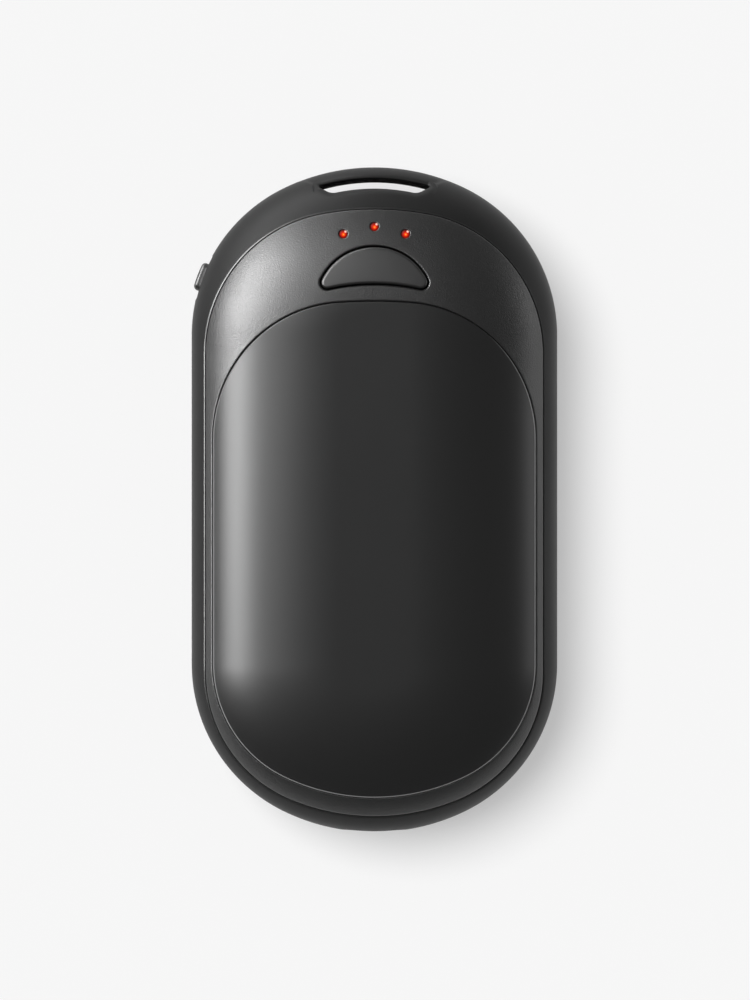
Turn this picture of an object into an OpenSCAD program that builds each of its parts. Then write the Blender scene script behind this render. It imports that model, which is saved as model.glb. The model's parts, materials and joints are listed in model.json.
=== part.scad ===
// Pocket hand warmer with rechargeable cells: a pebble-shaped housing, warm on both faces.
// X runs across the width, Y along the length towards the lanyard slot, Z through the thickness.
// The rear face rests on Z = 0. Inside the modules, Z = 0 is the middle plane of the body.

/* [Body] */
// Length of the body
body_l = 100; // [96:1:110]
// Width of the body
body_w = 55; // [53:1:60]
// Thickness of the body
body_t = 25; // [24:0.5:28]
// How much the radius of the round ends in plan exceeds half of the width
end_more = 3.8; // [3:0.1:6]
// How much the radius of the shoulders in plan falls short of half of the width
shoulder_less = 2.85; // [2.2:0.05:3.2]
// Half of the width of the flat middle of each face
flat_half = 5.2; // [4:0.1:6.2]
// Fullness of the cross section, where 2 is an ellipse
fullness = 2.1; // [2:0.05:2.5]

/* [Covers] */
// Wall of the front and rear covers
cover_wall = 2.1; // [1.8:0.1:2.4]
// Height of the covers' edge at the seam
edge_h = 2.6; // [2.4:0.05:2.8]
// Gap at the seam between a cover and the frame
seam_gap = 0.12; // [0.08:0.01:0.2]
// Distance of the seam from the outline at the sides
seam_in = 2.3; // [2:0.05:3]
// Distance of the seam from the body's upper end
seam_top_in = 6.9; // [6.5:0.1:8]
// Radius of the covers' upper end in plan
seam_top_r = 45; // [42:1:50]
// How much the radius of the covers' upper shoulders falls short of half of their width
seam_top_less = 4.2; // [3.2:0.1:5.2]
// Distance of the seam from the body's lower end
seam_low_in = 2.8; // [2.4:0.1:3.5]
// Radius of the covers' lower end in plan
seam_low_r = 33; // [31:0.5:36]
// How much the radius of the covers' lower shoulders falls short of half of their width
seam_low_less = 4.8; // [3.8:0.1:5.6]

/* [Heat plates] */
// Thickness of the aluminium plates
plate_t = 0.8; // [0.6:0.05:0.9]
// Gap round a plate in its recess
plate_gap = 0.12; // [0.08:0.01:0.2]
// Distance of the heat plates' edge from the seam at the sides
plate_in = 1.1; // [0.9:0.05:1.7]
// Distance of the front plate's arch from the button's hole
arch_in = 2.6; // [2:0.1:4]
// Radius of the arch at its top
arch_r = 76; // [70:1:90]
// How much the radius of the arch's shoulders falls short of half of the plate's width
arch_less = 4.1; // [3.1:0.1:6]
// Distance of the rear plate's upper end from the seam
rear_top_in = 3.1; // [2.6:0.1:4]
// Radius of the rear plate's upper end in plan
rear_top_r = 42; // [40:1:48]
// How much the radius of the rear plate's upper shoulders falls short of half of its width
rear_less = 4.1; // [3.1:0.1:5.1]
// Distance of the plates' lower end from the seam
plate_low_in = 3; // [2.4:0.1:3.7]
// Radius of the plates' lower end in plan
plate_low_r = 31.5; // [30:0.5:34]
// How much the radius of the plates' lower shoulders falls short of half of their width
plate_low_less = 5.6; // [4.6:0.1:6.6]
// Width of the rim that a plate rests on
plate_rim = 0.9; // [0.7:0.1:1.2]
// Thickness of the heater films
film_t = 0.25; // [0.2:0.01:0.3]
// Thickness of the glue above and below a heater film
film_play = 0.08; // [0.06:0.01:0.1]

/* [Lanyard slot] */
// Width of the bar that the strap goes round
strap_bar = 1.9; // [1.6:0.1:2.2]
// Width of the slot
slot_w = 1.85; // [1.5:0.05:2.1]
// Length of the slot on its inner side
slot_l = 15.3; // [12:0.1:16]
// Slant of the slot's ends
slot_slant = 45; // [30:1:50]

/* [Power button] */
// Radius of the button hole's upper arc
moon_r = 9; // [8.6:0.1:9.4]
// Distance of the top of the button hole from the outer lenses, along the body
moon_in = 1.9; // [1.5:0.1:2.3]
// Length of the button hole on the middle line
moon_h = 5.6; // [5.2:0.1:6]
// Radius of the button hole's lower arc
moon_low_r = 31.2; // [28:0.2:35]
// Radius of the two corners of the button hole
moon_corner_r = 0.9; // [0.7:0.05:1.1]
// Gap round the button
button_gap = 0.22; // [0.15:0.01:0.3]
// Height of the button above the cover
button_proud = 0.2; // [0.1:0.05:0.3]
// Travel of the button
button_travel = 0.3; // [0.2:0.05:0.4]
// Radius of the button's stem
stem_r = 1.3; // [1:0.1:1.6]

/* [Indicators] */
// Radius of the indicator lenses
lens_r = 0.8; // [0.7:0.05:0.9]
// Height of a lens above the cover
lens_proud = 0.15; // [0.1:0.01:0.2]
// Place of the two outer lenses across the body
lens_x = 4.6; // [4.2:0.1:5]
// Distance of the two outer lenses from the seam, along the body
lens_in = 3.8; // [3.5:0.1:4.2]
// Distance of the middle lens beyond the outer two, along the body
lens_rise = 1.1; // [1:0.1:1.3]

/* [Side switch] */
// Length of the knob
knob_l = 4.3; // [4:0.1:4.8]
// Height of the knob
knob_h = 3; // [2.6:0.1:3.2]
// How far the knob stands out of the frame
knob_proud = 0.75; // [0.5:0.05:0.9]
// Radius of the knob's corners
knob_corner_r = 0.5; // [0.3:0.05:0.6]
// Direction of the knob, seen from the shoulder's centre, above the -X axis
knob_turn = 20.9; // [20:0.1:22]
// Travel of the knob from end to end
knob_travel = 2; // [1.6:0.1:2.4]
// Play between the knob and its window
knob_play = 0.15; // [0.1:0.01:0.2]

/* [Cells] */
// Room between the cells and each face of the body
cell_face_room = 3.4; // [3.35:0.05:3.8]
// Room between the cells and each side of the body
cell_side_room = 9.1; // [9:0.1:9.6]
// Gap between the two cells
cell_gap = 0.4; // [0.2:0.1:0.6]
// Distance of the cells' upper end from the button's hole
cell_top_room = 1.7; // [1.5:0.1:2.4]
// Distance of the cells' lower end from the body's lower end
cell_low_room = 15.1; // [15:0.05:16]

/* [Boards] */
// Thickness of the circuit boards
board_t = 1.2; // [1:0.1:1.6]
// Radius of the cover screws' shanks
screw_r = 1; // [0.9:0.05:1.1]
// Radius of the cover screws' heads
screw_head_r = 1.8; // [1.6:0.05:1.9]
// Radius of the board screws' shanks
board_screw_r = 0.8; // [0.7:0.05:0.9]
// Width of the charging socket
usb_w = 8.94; // [8.9:0.01:9]
// Height of the charging socket
usb_h = 3.2; // [3.15:0.01:3.3]
// Depth of the charging socket
usb_l = 7.35; // [7:0.05:7.6]

/* [Hidden] */
$fn = 96;

// The body's own geometry
half_l = body_l / 2;
half_w = body_w / 2;
half_t = body_t / 2;
end_r = half_w + end_more;
shoulder_r = half_w - shoulder_less;
flat_in = half_w - flat_half;
end_drop = sqrt(pow(end_r - shoulder_r, 2) - pow(half_w - shoulder_r, 2));
straight = half_l - end_r + end_drop;
shoulder_turn = atan2(end_drop, half_w - shoulder_r);
overrun = 1;
fit_play = 0.05;

// Plan of the covers, the plates and the button's hole
seam_half = half_w - seam_in;
seam_top = half_l - seam_top_in;
seam_low = half_l - seam_low_in;
lens_y = seam_top - lens_in;
lens_mid_y = lens_y + lens_rise;
moon_top = lens_y - moon_in;
moon_low = moon_top - moon_h;
plate_half = seam_half - plate_in;
arch_top = moon_low - arch_in;
rear_top = seam_top - rear_top_in;
plate_low = seam_low - plate_low_in;

// The largest two cells that fit side by side
cell_d = min(body_t - 2 * cell_face_room, half_w - cell_gap / 2 - cell_side_room);
cell_top = moon_low - cell_top_room;
cell_low = half_l - cell_low_room;
cell_l = cell_top + cell_low;
cell_r = cell_d / 2;
cell_x = (cell_d + cell_gap) / 2;

// The recesses of the covers, and the frame's ledge under them
rim_t = plate_t + film_play;
recess_t = rim_t + film_t + 2 * film_play;
ledge_w = 1.5;
ledge_play = 0.25;
boss_root_t = (recess_t + cover_wall) / 2;
inner_play = 0.1;

// Steps of a plan curve, and shares of the way from one curve to the next
tip_steps = 8;
shoulder_steps = 9;
side_steps = 4;
column_steps = 16;
edge_shares = [1, 0.7, 0.45, 0.25, 0.1, 0.03];
face_shares = [0, 0.35, 0.65, 0.86, 1];
skin_shares = [0, 0.2, 0.4, 0.6, 0.8, 1];
under_shares = [0, 0.05, 0.14, 0.3, 0.5, 0.75, 1];
film_edge_share = 0.985;

// Boards and what they carry
board_top = -usb_h / 2;
board_play = 0.5;
control_board_play = 1.4;
charge_board_play = 0.9;
control_ear_l = 4.2;
control_ear_play = 0.35;
control_board_y = cell_top + control_board_play;
charge_board_y = -cell_low - charge_board_play;
control_ear_x = cell_d + cell_gap / 2 + control_ear_play;
control_ear_y = control_board_y - control_ear_l;
usb_mouth_in = 1;
usb_mouth_y = usb_mouth_in - half_l;
usb_wall = 0.25;
usb_play = 0.2;
usb_tongue_w = 6.69;
usb_tongue_t = 0.7;
usb_tongue_l = 5.6;
usb_back = 0.8;

// Switch under the power button
tact_w = 4.5;
tact_h = 3.5;
tact_in = 2.6;
tact_y = moon_low + tact_in;
tact_plunger_r = 1.25;
tact_proud = 0.9;
tact_bore_h = 2;
tact_play = 0.05;
tact_spare = 0.2;
flange_w = 0.7;
flange_play = 0.2;
moon_share = 0.55;
flange_t = 0.7;

// Indicators
lens_bore_r = lens_r + fit_play;
lens_collar_w = 0.4;
lens_collar_r = lens_r + lens_collar_w;
lens_collar_t = 0.6;
lens_dome_r = 1.1;
led_w = 1.6;
led_d = 0.8;
led_h = 0.8;
led_play = 0.2;

// Side switch
knob_wall = 1.6;
knob_flange_t = 0.9;
knob_flange_w = 0.6;
knob_flange_l = knob_l + 2 * (knob_travel + knob_flange_w);
knob_flange_h = knob_h + 2 * knob_flange_w;
pocket_play = 0.25;
fork_l = 1.6;
fork_t = 0.8;
switch_l = 8.4;
switch_d = 3.4;
switch_h = 2 * -board_top;
switch_in = 4.45;
switch_face = shoulder_r - switch_in;
lever_w = 1.5;
lever_h = 1.2;
slider_l = 4;
slider_d = 1.6;
slider_h = 1.8;

// Components and their places from the button's switch or from the charging board's edge
chip_h = 0.9;
control_chip_w = 5;
control_chip_at = [8.2, 0.2];
transistor_w = 3.6;
transistor_at = [-8.6, -0.6];
transistor_pitch = 4.1;
charge_chip_w = 4;
charge_chip_at = [7.4, -4.8];
inductor_w = 4.5;
inductor_h = 2.6;
inductor_at = [-7.3, -5.3];
capacitor_l = 1.6;
capacitor_w = 0.8;
control_capacitor_at = [4.1, -2.4];
control_capacitor_pitch = 1.6;
charge_capacitor_at = [0, -4.2];
charge_capacitor_pitch = 3.2;

// Cells and what holds them
cell_cap_r = 3.2;
cell_cap_h = 0.5;
cell_case_l = cell_l - cell_cap_h;
strip_t = 0.2;
strip_w = 6;
strip_reach = 2.7;
strip_l = 2 * (cell_x + strip_reach);
lead_r = 0.4;
lead_x = 6.6;
lead_l = 1.6;
cradle_rib = 5;
cradle_y = 11;
cradle_lip = 1;
cradle_w = cell_x + cell_r + cradle_lip;
cradle_top = 1.5;
keel_w = 5;
keel_drop = 1.7;
keel_top = cell_r - keel_drop;
pad_w = 28;
pad_play = 3.6;
pad_drop = 2;
pad_low = cell_r - pad_drop;

// Ribbon and heater tails
ribbon_w = 5;
ribbon_t = 0.4;
ribbon_play = 0.25;
ribbon_top = sqrt(pow(cell_r, 2) - pow(cell_x - ribbon_w / 2, 2)) + ribbon_play + ribbon_t;
ribbon_bend = 1;
tail_w = 3;
tail_t = 0.2;
tail_x = 4.2;
tail_in = 2.6;
tail_y = arch_top - tail_in;
pad_l = 2 * (tail_y - pad_play);
tail_hole_w = 1.2;

// Sensors
sensor_r = 0.8;
sensor_play = 0.15;
sensor_y = -10;

// Screws
boss_r = 2.2;
rear_boss_r = 2.5;
boss_in = 6.45;
boss_end_in = 28;
screw_head_h = 1.2;
screw_seat = 4.6;
screw_depth = 5;
post_r = 1.9;
post_bore_l = 3.4;
board_head_r = 1.5;
board_head_h = 0.9;
board_screw_l = 3;
control_post_at = [12.5, 2.6];
charge_post_at = [11.5, -4.4];
control_post = [0, tact_y] + control_post_at;
charge_post = [0, charge_board_y] + charge_post_at;
screw_places = [for (x = [-1, 1], y = [-1, 1]) [x * (half_w - boss_in), y * (half_l - boss_end_in)]];
post_places = [for (post = [control_post, charge_post], x = [-1, 1]) [x * post.x, post.y]];
lens_places = [[-lens_x, lens_y], [0, lens_mid_y], [lens_x, lens_y]];

// Unit vector in a direction of the plane
function ray(turn) = [cos(turn), sin(turn)];

// Distance of a place in plan from the body's outline
function depth_at(p) =
    let (x = abs(p.x), y = abs(p.y) - straight)
    y < 0 ? half_w - x :
    atan2(y, x - half_w + shoulder_r) < shoulder_turn ? shoulder_r - norm([x - half_w + shoulder_r, y]) :
    end_r - norm([x, y + end_drop]);

// Height above the middle plane of the skin that lies t inside the outer one
function skin_z(p, t = 0) =
    let (d = min(max(depth_at(p) - t, 0), flat_in - t), away = 1 - d / (flat_in - t))
    (half_t - t) * pow(1 - pow(away, fullness), 1 / fullness);

// Height of a cover's underside, or of what lies some play below it
function under_z(p, play = 0) = max(skin_z(p, cover_wall + play), skin_z(p) - edge_h - play);

// Points along an arc, with its first end and without its last
function arc(centre, r, from, to, steps) =
    [for (i = [0 : steps - 1]) centre + r * ray(from + (to - from) * i / steps)];

// Points along a line, with its first end and without its last
function line(from, to, steps) = [for (i = [0 : steps - 1]) from + (to - from) * i / steps];

// Place where the shoulders of an end begin; an end is its tip, tip radius and shoulder radius
function end_drop_of(half, tip) = sqrt(pow(tip[1] - tip[2], 2) - pow(half - tip[2], 2));
function end_start(half, tip) = tip[0] - tip[1] + end_drop_of(half, tip);

// Half a plan curve: right shoulder, tip and left shoulder
function end_arcs(half, tip, inset) =
    let (drop = end_drop_of(half, tip), start = end_start(half, tip), turn = atan2(drop, half - tip[2]))
    concat(
        arc([half - tip[2], start], tip[2] - inset, 0, turn, shoulder_steps),
        arc([0, start - drop], tip[1] - inset, turn, 180 - turn, tip_steps),
        arc([tip[2] - half, start], tip[2] - inset, 180 - turn, 180, shoulder_steps));

// Closed plan curve of a pebble, counterclockwise, with an upper and a lower end
function pebble(half, upper, lower, inset) =
    let (high = end_start(half, upper), low = -end_start(half, lower), x = half - inset)
    concat(
        end_arcs(half, upper, inset),
        line([-x, high], [-x, low], side_steps),
        -end_arcs(half, lower, inset),
        line([x, low], [x, high], side_steps));

function body_curve(inset = 0) =
    pebble(half_w, [half_l, end_r, shoulder_r], [half_l, end_r, shoulder_r], inset);

function seam_curve(inset = 0) =
    pebble(seam_half, [seam_top, seam_top_r, seam_half - seam_top_less],
           [seam_low, seam_low_r, seam_half - seam_low_less], inset);

// Plan curve of a heat plate, arched on the front and long on the rear
function plate_curve(front, inset = 0) =
    pebble(plate_half,
           front ? [arch_top, arch_r, plate_half - arch_less] : [rear_top, rear_top_r, plate_half - rear_less],
           [plate_low, plate_low_r, plate_half - plate_low_less], inset);

// Closed plan curve of the power button's hole
function moon_curve(inset = 0) =
    let (
        high = moon_top - moon_r,
        low = moon_low - moon_low_r,
        r1 = moon_r - moon_corner_r,
        r2 = moon_low_r + moon_corner_r,
        y = (r2 * r2 - r1 * r1 - low * low + high * high) / (2 * (high - low)),
        x = sqrt(r1 * r1 - pow(y - high, 2)),
        up = atan2(y - high, x),
        down = atan2(y - low, x))
    concat(
        arc([x, y], moon_corner_r - inset, down - 180, up, shoulder_steps),
        arc([0, high], moon_r - inset, up, 180 - up, 2 * tip_steps),
        arc([-x, y], moon_corner_r - inset, 180 - up, 360 - down, shoulder_steps),
        arc([0, low], moon_low_r + inset, 180 - down, down, tip_steps));

// A plan curve between two others
function between(a, b, share) = a + (b - a) * share;

// Ring of a plan curve on the skin that lies t inside, on a cover's underside, or at one height
function lift(curve, t = 0) = [for (p = curve) [p.x, p.y, skin_z(p, t)]];
function sink(curve, play = 0) = [for (p = curve) [p.x, p.y, under_z(p, play)]];
function level(curve, z) = [for (p = curve) [p.x, p.y, z]];

// Rings turned over to the other side of the middle plane, in the opposite order
function turned(rings) = [for (ring = reversed(rings)) [for (p = ring) [p.x, p.y, -p.z]]];

// Rings in the opposite order
function reversed(rings) = [for (i = [len(rings) - 1 : -1 : 0]) rings[i]];

// Mean of a ring's points
function middle(ring) = [for (p = ring) 1] * ring / len(ring);

// Two triangles of each cell between one ring and the next
function cells(n, from, to) =
    [for (j = [0 : n - 1]) let (k = (j + 1) % n) each [
        [from * n + j, from * n + k, to * n + k],
        [from * n + j, to * n + k, to * n + j]]];

// Closed solid over rings that run from the middle of the top outward, down and back inward
module loft(rings) {
    n = len(rings[0]);
    m = len(rings);
    polyhedron(
        points = concat([for (ring = rings) each ring], [middle(rings[0]), middle(rings[m - 1])]),
        faces = concat(
            [for (i = [0 : m - 2]) each cells(n, i, i + 1)],
            [for (j = [0 : n - 1]) [n * m, (j + 1) % n, j]],
            [for (j = [0 : n - 1]) [n * m + 1, (m - 1) * n + j, (m - 1) * n + (j + 1) % n]]));
}

// Closed tube over rings that run round its section and back to the first
module ring_loft(rings) {
    n = len(rings[0]);
    m = len(rings);
    polyhedron(
        points = [for (ring = rings) each ring],
        faces = [for (i = [0 : m - 1]) each cells(n, i, (i + 1) % m)]);
}

// Upright column whose top follows the skin that lies t inside
module column(p, r, from, t) {
    foot = arc(p, r, 0, 360, column_steps);
    loft([lift(foot, t), level(foot, from)]);
}

// Sector of a disc between two directions
module pie(r, from, to) {
    mid = (from + to) / 2;
    intersection() {
        circle(r = r);
        polygon([[0, 0], 2 * r * ray(from), 2 * r * ray(mid), 2 * r * ray(to)]);
    }
}

// Plate with four round corners, centred
module rounded_plate(size, r) {
    inner = size - [2 * r, 2 * r];
    square([size.x, inner.y], center = true);
    square([inner.x, size.y], center = true);
    for (x = [0, 1], y = [0, 1]) mirror([x, 0]) mirror([0, y])
        translate(inner / 2) pie(r, 0, 90);
}

// Slot with two round ends, centred
module stadium(size) {
    r = size.y / 2;
    square([size.x - 2 * r, size.y], center = true);
    for (x = [0, 1]) mirror([x, 0]) translate([size.x / 2 - r, 0]) pie(r, -90, 90);
}

// Cross section of the room inside the straight part, above the middle plane
module inner_section(t, width) {
    steps = 2 * tip_steps;
    xs = [for (i = [0 : steps]) width * (i / steps - 1 / 2)];
    polygon(concat([[width / 2, 0], [-width / 2, 0]], [for (x = xs) [x, skin_z([x, 0], t)]]));
}

// Upright prism through the whole body
module through() {
    linear_extrude(height = body_t + 2 * overrun, center = true) children();
}

// Upright cylinder between two heights
module pin(p, r, from, to) {
    translate([p.x, p.y, min(from, to)]) cylinder(r = r, h = abs(to - from));
}

// Puts the middle plane of the body half its thickness above the ground
module on_ground() {
    translate([0, 0, half_t]) children();
}

// Turns the side switch's own axes to its place: X outward, Y along its travel
module at_knob() {
    translate([shoulder_r - half_w, straight, 0]) rotate([0, 0, 180 - knob_turn]) children();
}

// Box with its middle on the Y and Z axes, between two distances along X
module bar(from, to, size) {
    translate([from, -size.x / 2, -size.y / 2]) cube([to - from, size.x, size.y]);
}

// Lanyard slot behind its bar
module lanyard_slot() {
    outer = end_r - strap_bar;
    inner = outer - slot_w;
    mouth = half_l - 2 * (strap_bar + slot_w);
    slant = (strap_bar + slot_w) * tan(slot_slant);
    through() intersection() {
        translate([0, half_l - end_r]) difference() {
            circle(r = outer);
            circle(r = inner);
        }
        polygon([[-slot_l / 2 + slant, mouth], [-slot_l / 2 - slant, half_l],
                 [slot_l / 2 + slant, half_l], [slot_l / 2 - slant, mouth]]);
    }
}

// Ring all round the edge, with the ledge that the covers sit on
module frame_ring() {
    upper = concat(
        [for (w = [ledge_w, ledge_w / 2, 0]) sink(seam_curve(w), ledge_play)],
        [for (share = edge_shares) lift(between(body_curve(), seam_curve(), share))]);
    ring_loft(concat(upper, [level(body_curve(), 0)], turned(upper)));
}

// Frame with the strap bar, the switch window and the charging port
module mid_frame() {
    pocket = [knob_flange_l + knob_travel + 2 * pocket_play, knob_flange_h + 2 * pocket_play];
    window = [knob_l + knob_travel + 2 * knob_play, knob_h + 2 * knob_play];
    color("dimgray") on_ground() difference() {
        frame_ring();
        lanyard_slot();
        at_knob() {
            bar(switch_face - switch_d - overrun, shoulder_r - knob_wall, pocket);
            bar(switch_face, shoulder_r + overrun, window);
        }
        translate([0, ledge_w + overrun - seam_low, 0]) rotate([90, 0, 0]) linear_extrude(height = half_l)
            stadium([usb_w + 2 * usb_play, usb_h + 2 * usb_play]);
    }
}

// Rings of a face from its flat middle out to a share of the way to the plate's rim
function face_rings(front, t, shares = face_shares) =
    [for (share = shares) lift(between(body_curve(flat_in), plate_curve(front, plate_rim), share), t)];

// Cover that faces up, with the recess for its plate, before its bosses and holes
module cover_shell(front) {
    hole = plate_curve(front, -plate_gap);
    edge = seam_curve(seam_gap);
    loft(concat(
        face_rings(front, recess_t),
        [lift(plate_curve(front, plate_rim), rim_t), lift(hole, rim_t)],
        [for (share = skin_shares) lift(between(hole, edge, share))],
        [for (share = under_shares) sink(between(edge, body_curve(flat_in), share))]));
}

// Openings in a cover for a heater's tail and for its sensor
module cover_openings(side) {
    translate([side * tail_x, tail_y, 0]) linear_extrude(height = half_t)
        square([tail_w + tail_hole_w, tail_hole_w], center = true);
    pin([0, sensor_y], sensor_r + sensor_play, 0, half_t);
}

// Front cover, with the bosses for the four screws
module front_cover() {
    color("#33363a") on_ground() difference() {
        union() {
            cover_shell(true);
            for (p = screw_places) column(p, boss_r, fit_play, boss_root_t);
        }
        translate([0, 0, half_t / 2]) linear_extrude(height = half_t) polygon(moon_curve());
        for (p = lens_places) pin(p, lens_bore_r, 0, half_t);
        for (p = screw_places) pin(p, screw_r + fit_play, 0, screw_depth);
        cover_openings(-1);
    }
}

// Rear cover, built facing up and turned over, with bosses for the screws and posts for the boards
module rear_cover() {
    color("#33363a") on_ground() mirror([0, 0, 1]) difference() {
        union() {
            cover_shell(false);
            for (p = screw_places) column(p, rear_boss_r, 0, boss_root_t);
            for (p = post_places) column(p, post_r, board_t - board_top, boss_root_t);
        }
        for (p = screw_places) {
            pin(p, screw_r + inner_play, -overrun, half_t);
            pin(p, screw_head_r + inner_play, screw_seat, half_t);
        }
        for (p = post_places) pin(p, board_screw_r + fit_play, 0, board_t - board_top + post_bore_l);
        cover_openings(1);
    }
}

// Aluminium plate that lies flush in a cover
module heat_plate(front) {
    edge = plate_curve(front);
    loft(concat(
        face_rings(front, 0),
        [lift(edge), lift(edge, plate_t)],
        reversed(face_rings(front, plate_t))));
}

// Heater film bonded under a plate
module heater_film(front) {
    shares = [for (share = face_shares) min(share, film_edge_share)];
    loft(concat(
        face_rings(front, rim_t, shares),
        reversed(face_rings(front, rim_t + film_t, shares))));
}

module front_heat_plate() { color("#4a4d51") on_ground() heat_plate(true); }

module front_heater_film() { color("#c07a2c") on_ground() heater_film(true); }

module rear_heat_plate() { color("#4a4d51") on_ground() mirror([0, 0, 1]) heat_plate(false); }

module rear_heater_film() { color("#c07a2c") on_ground() mirror([0, 0, 1]) heater_film(false); }

// Half moon button, with the flange that keeps it in and the stem that presses the switch
module power_button() {
    flange_top = cover_wall + flange_play;
    core = [for (p = moon_curve()) [0, tact_y]];
    face = moon_curve(button_gap);
    skirt = moon_curve(-flange_w);
    color("#3c3f43") on_ground() {
        loft([
            lift(between(face, core, moon_share), -button_proud),
            lift(face, -button_proud),
            lift(face, flange_top),
            lift(skirt, flange_top),
            lift(skirt, flange_top + flange_t),
            lift(between(skirt, core, moon_share), flange_top + flange_t)
        ]);
        pin([0, tact_y], stem_r, board_top + tact_h + tact_proud,
            skin_z([0, tact_y], flange_top + flange_t / 2));
    }
}

// Three light pipes, each with a collar under the cover
module indicator_lenses() {
    color("red") on_ground() for (p = lens_places) {
        top = skin_z(p) + lens_proud;
        low_side = p + lens_collar_r * (p - [0, half_l - end_r]) / norm(p - [0, half_l - end_r]);
        collar_top = skin_z(low_side, cover_wall) - inner_play;
        intersection() {
            pin(p, lens_r, board_top + led_h + led_play, top);
            union() {
                translate([p.x, p.y, top - lens_dome_r]) sphere(r = lens_dome_r);
                pin(p, lens_dome_r, 0, top - lens_dome_r);
            }
        }
        pin(p, lens_collar_r, collar_top - lens_collar_t, collar_top);
    }
}

// Knob in the frame's window, with its flange and the fork that holds the lever
module side_switch_knob() {
    face = shoulder_r - knob_wall - inner_play;
    back = face - knob_flange_t;
    color("#3c3f43") on_ground() at_knob() {
        translate([0, 0, -knob_h / 2]) linear_extrude(height = knob_h) intersection() {
            translate([(back + shoulder_r + knob_proud) / 2, 0])
                rounded_plate([shoulder_r + knob_proud - back, knob_l], knob_corner_r);
            translate([back + knob_corner_r, -knob_l / 2]) square([shoulder_r, knob_l]);
        }
        bar(back, face, [knob_flange_l, knob_flange_h]);
        for (side = [-1, 1]) translate([0, side * (lever_w + fork_t + 2 * fit_play) / 2, 0])
            bar(back - fork_l, back + fit_play, [fork_t, lever_h]);
    }
}

// Housing of the slide switch on the control board
module slide_switch_body() {
    mid = switch_face - switch_d / 2;
    reach = slider_d / 2 + inner_play;
    run = knob_travel + 2 * inner_play;
    color("silver") on_ground() at_knob() difference() {
        bar(switch_face - switch_d, switch_face, [switch_l, switch_h]);
        bar(mid - reach, mid + reach, [slider_l + run, slider_h + 2 * inner_play]);
        bar(mid, switch_face + overrun, [lever_w + run, lever_h + 2 * inner_play]);
    }
}

// Slider of the switch, with the lever that the knob's fork moves
module slide_switch_slider() {
    mid = switch_face - switch_d / 2;
    tip = shoulder_r - knob_wall - knob_flange_t - 2 * inner_play - fit_play;
    color("black") on_ground() at_knob() {
        bar(mid - slider_d / 2, mid + slider_d / 2, [slider_l, slider_h]);
        bar(mid, tip, [lever_w, lever_h]);
    }
}

// Board of a given plan, with the holes for its two screws
module board(post) {
    translate([0, 0, board_top - board_t]) linear_extrude(height = board_t) difference() {
        intersection() {
            polygon(seam_curve(ledge_w + board_play));
            children();
        }
        for (x = [-1, 1]) translate([x * post.x, post.y]) circle(r = board_screw_r + inner_play);
    }
}

// Board at the upper end, with an ear beside the left cell that carries the slide switch
module control_board() {
    color("darkgreen") on_ground() board(control_post) union() {
        translate([-half_w, control_board_y]) square([body_w, half_l]);
        translate([-half_w, control_ear_y]) square([half_w - control_ear_x, half_l]);
    }
}

// Housing of the press switch under the power button
module tact_switch_body() {
    color("#2b2b2b") on_ground() difference() {
        translate([-tact_w / 2, tact_y - tact_w / 2, board_top]) cube([tact_w, tact_w, tact_h]);
        pin([0, tact_y], tact_plunger_r + tact_play, board_top + tact_h - tact_bore_h, half_t);
    }
}

// Plunger of the press switch
module tact_switch_plunger() {
    top = board_top + tact_h;
    color("black") on_ground()
        pin([0, tact_y], tact_plunger_r, top - tact_bore_h + button_travel + tact_spare, top + tact_proud);
}

// Light sources under the three lenses
module indicator_leds() {
    color("mistyrose") on_ground() for (p = lens_places)
        translate([p.x - led_w / 2, p.y - led_d / 2, board_top]) cube([led_w, led_d, led_h]);
}

// Component that stands on a board
module component(p, size) {
    translate([p.x - size.x / 2, p.y - size.y / 2, board_top]) cube(size);
}

module control_chip() {
    color("#222222") on_ground()
        component([0, tact_y] + control_chip_at, [control_chip_w, control_chip_w, chip_h]);
}

module heater_transistors() {
    color("#222222") on_ground() for (row = [0, 1])
        component([0, tact_y + row * transistor_pitch] + transistor_at,
                  [transistor_w, transistor_w, chip_h]);
}

module control_capacitors() {
    color("tan") on_ground() for (row = [0 : 2])
        component([0, tact_y + row * control_capacitor_pitch] + control_capacitor_at,
                  [capacitor_l, capacitor_w, capacitor_w]);
}

// Board at the lower end, behind the charging socket
module charge_board() {
    color("darkgreen") on_ground() board(charge_post)
        translate([-half_w, -half_l]) square([body_w, half_l + charge_board_y]);
}

// Steel shell of the charging socket
module usb_socket_shell() {
    color("silver") on_ground() translate([0, usb_mouth_y + usb_l, 0]) rotate([90, 0, 0]) difference() {
        linear_extrude(height = usb_l) stadium([usb_w, usb_h]);
        translate([0, 0, usb_back]) linear_extrude(height = usb_l)
            stadium([usb_w - 2 * usb_wall, usb_h - 2 * usb_wall]);
    }
}

// Tongue of the charging socket, on the back of its shell
module usb_socket_tongue() {
    color("black") on_ground()
        translate([-usb_tongue_w / 2, usb_mouth_y + usb_l - usb_back - usb_tongue_l, -usb_tongue_t / 2])
            cube([usb_tongue_w, usb_tongue_l, usb_tongue_t]);
}

module charge_chip() {
    color("#222222") on_ground()
        component([0, charge_board_y] + charge_chip_at, [charge_chip_w, charge_chip_w, chip_h]);
}

module power_inductor() {
    color("#3a3a3a") on_ground()
        component([0, charge_board_y] + inductor_at, [inductor_w, inductor_w, inductor_h]);
}

module charge_capacitors() {
    color("tan") on_ground() for (x = [-1 : 1])
        component([x * charge_capacitor_pitch, charge_board_y] + charge_capacitor_at,
                  [capacitor_l, capacitor_w, capacitor_w]);
}

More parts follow.
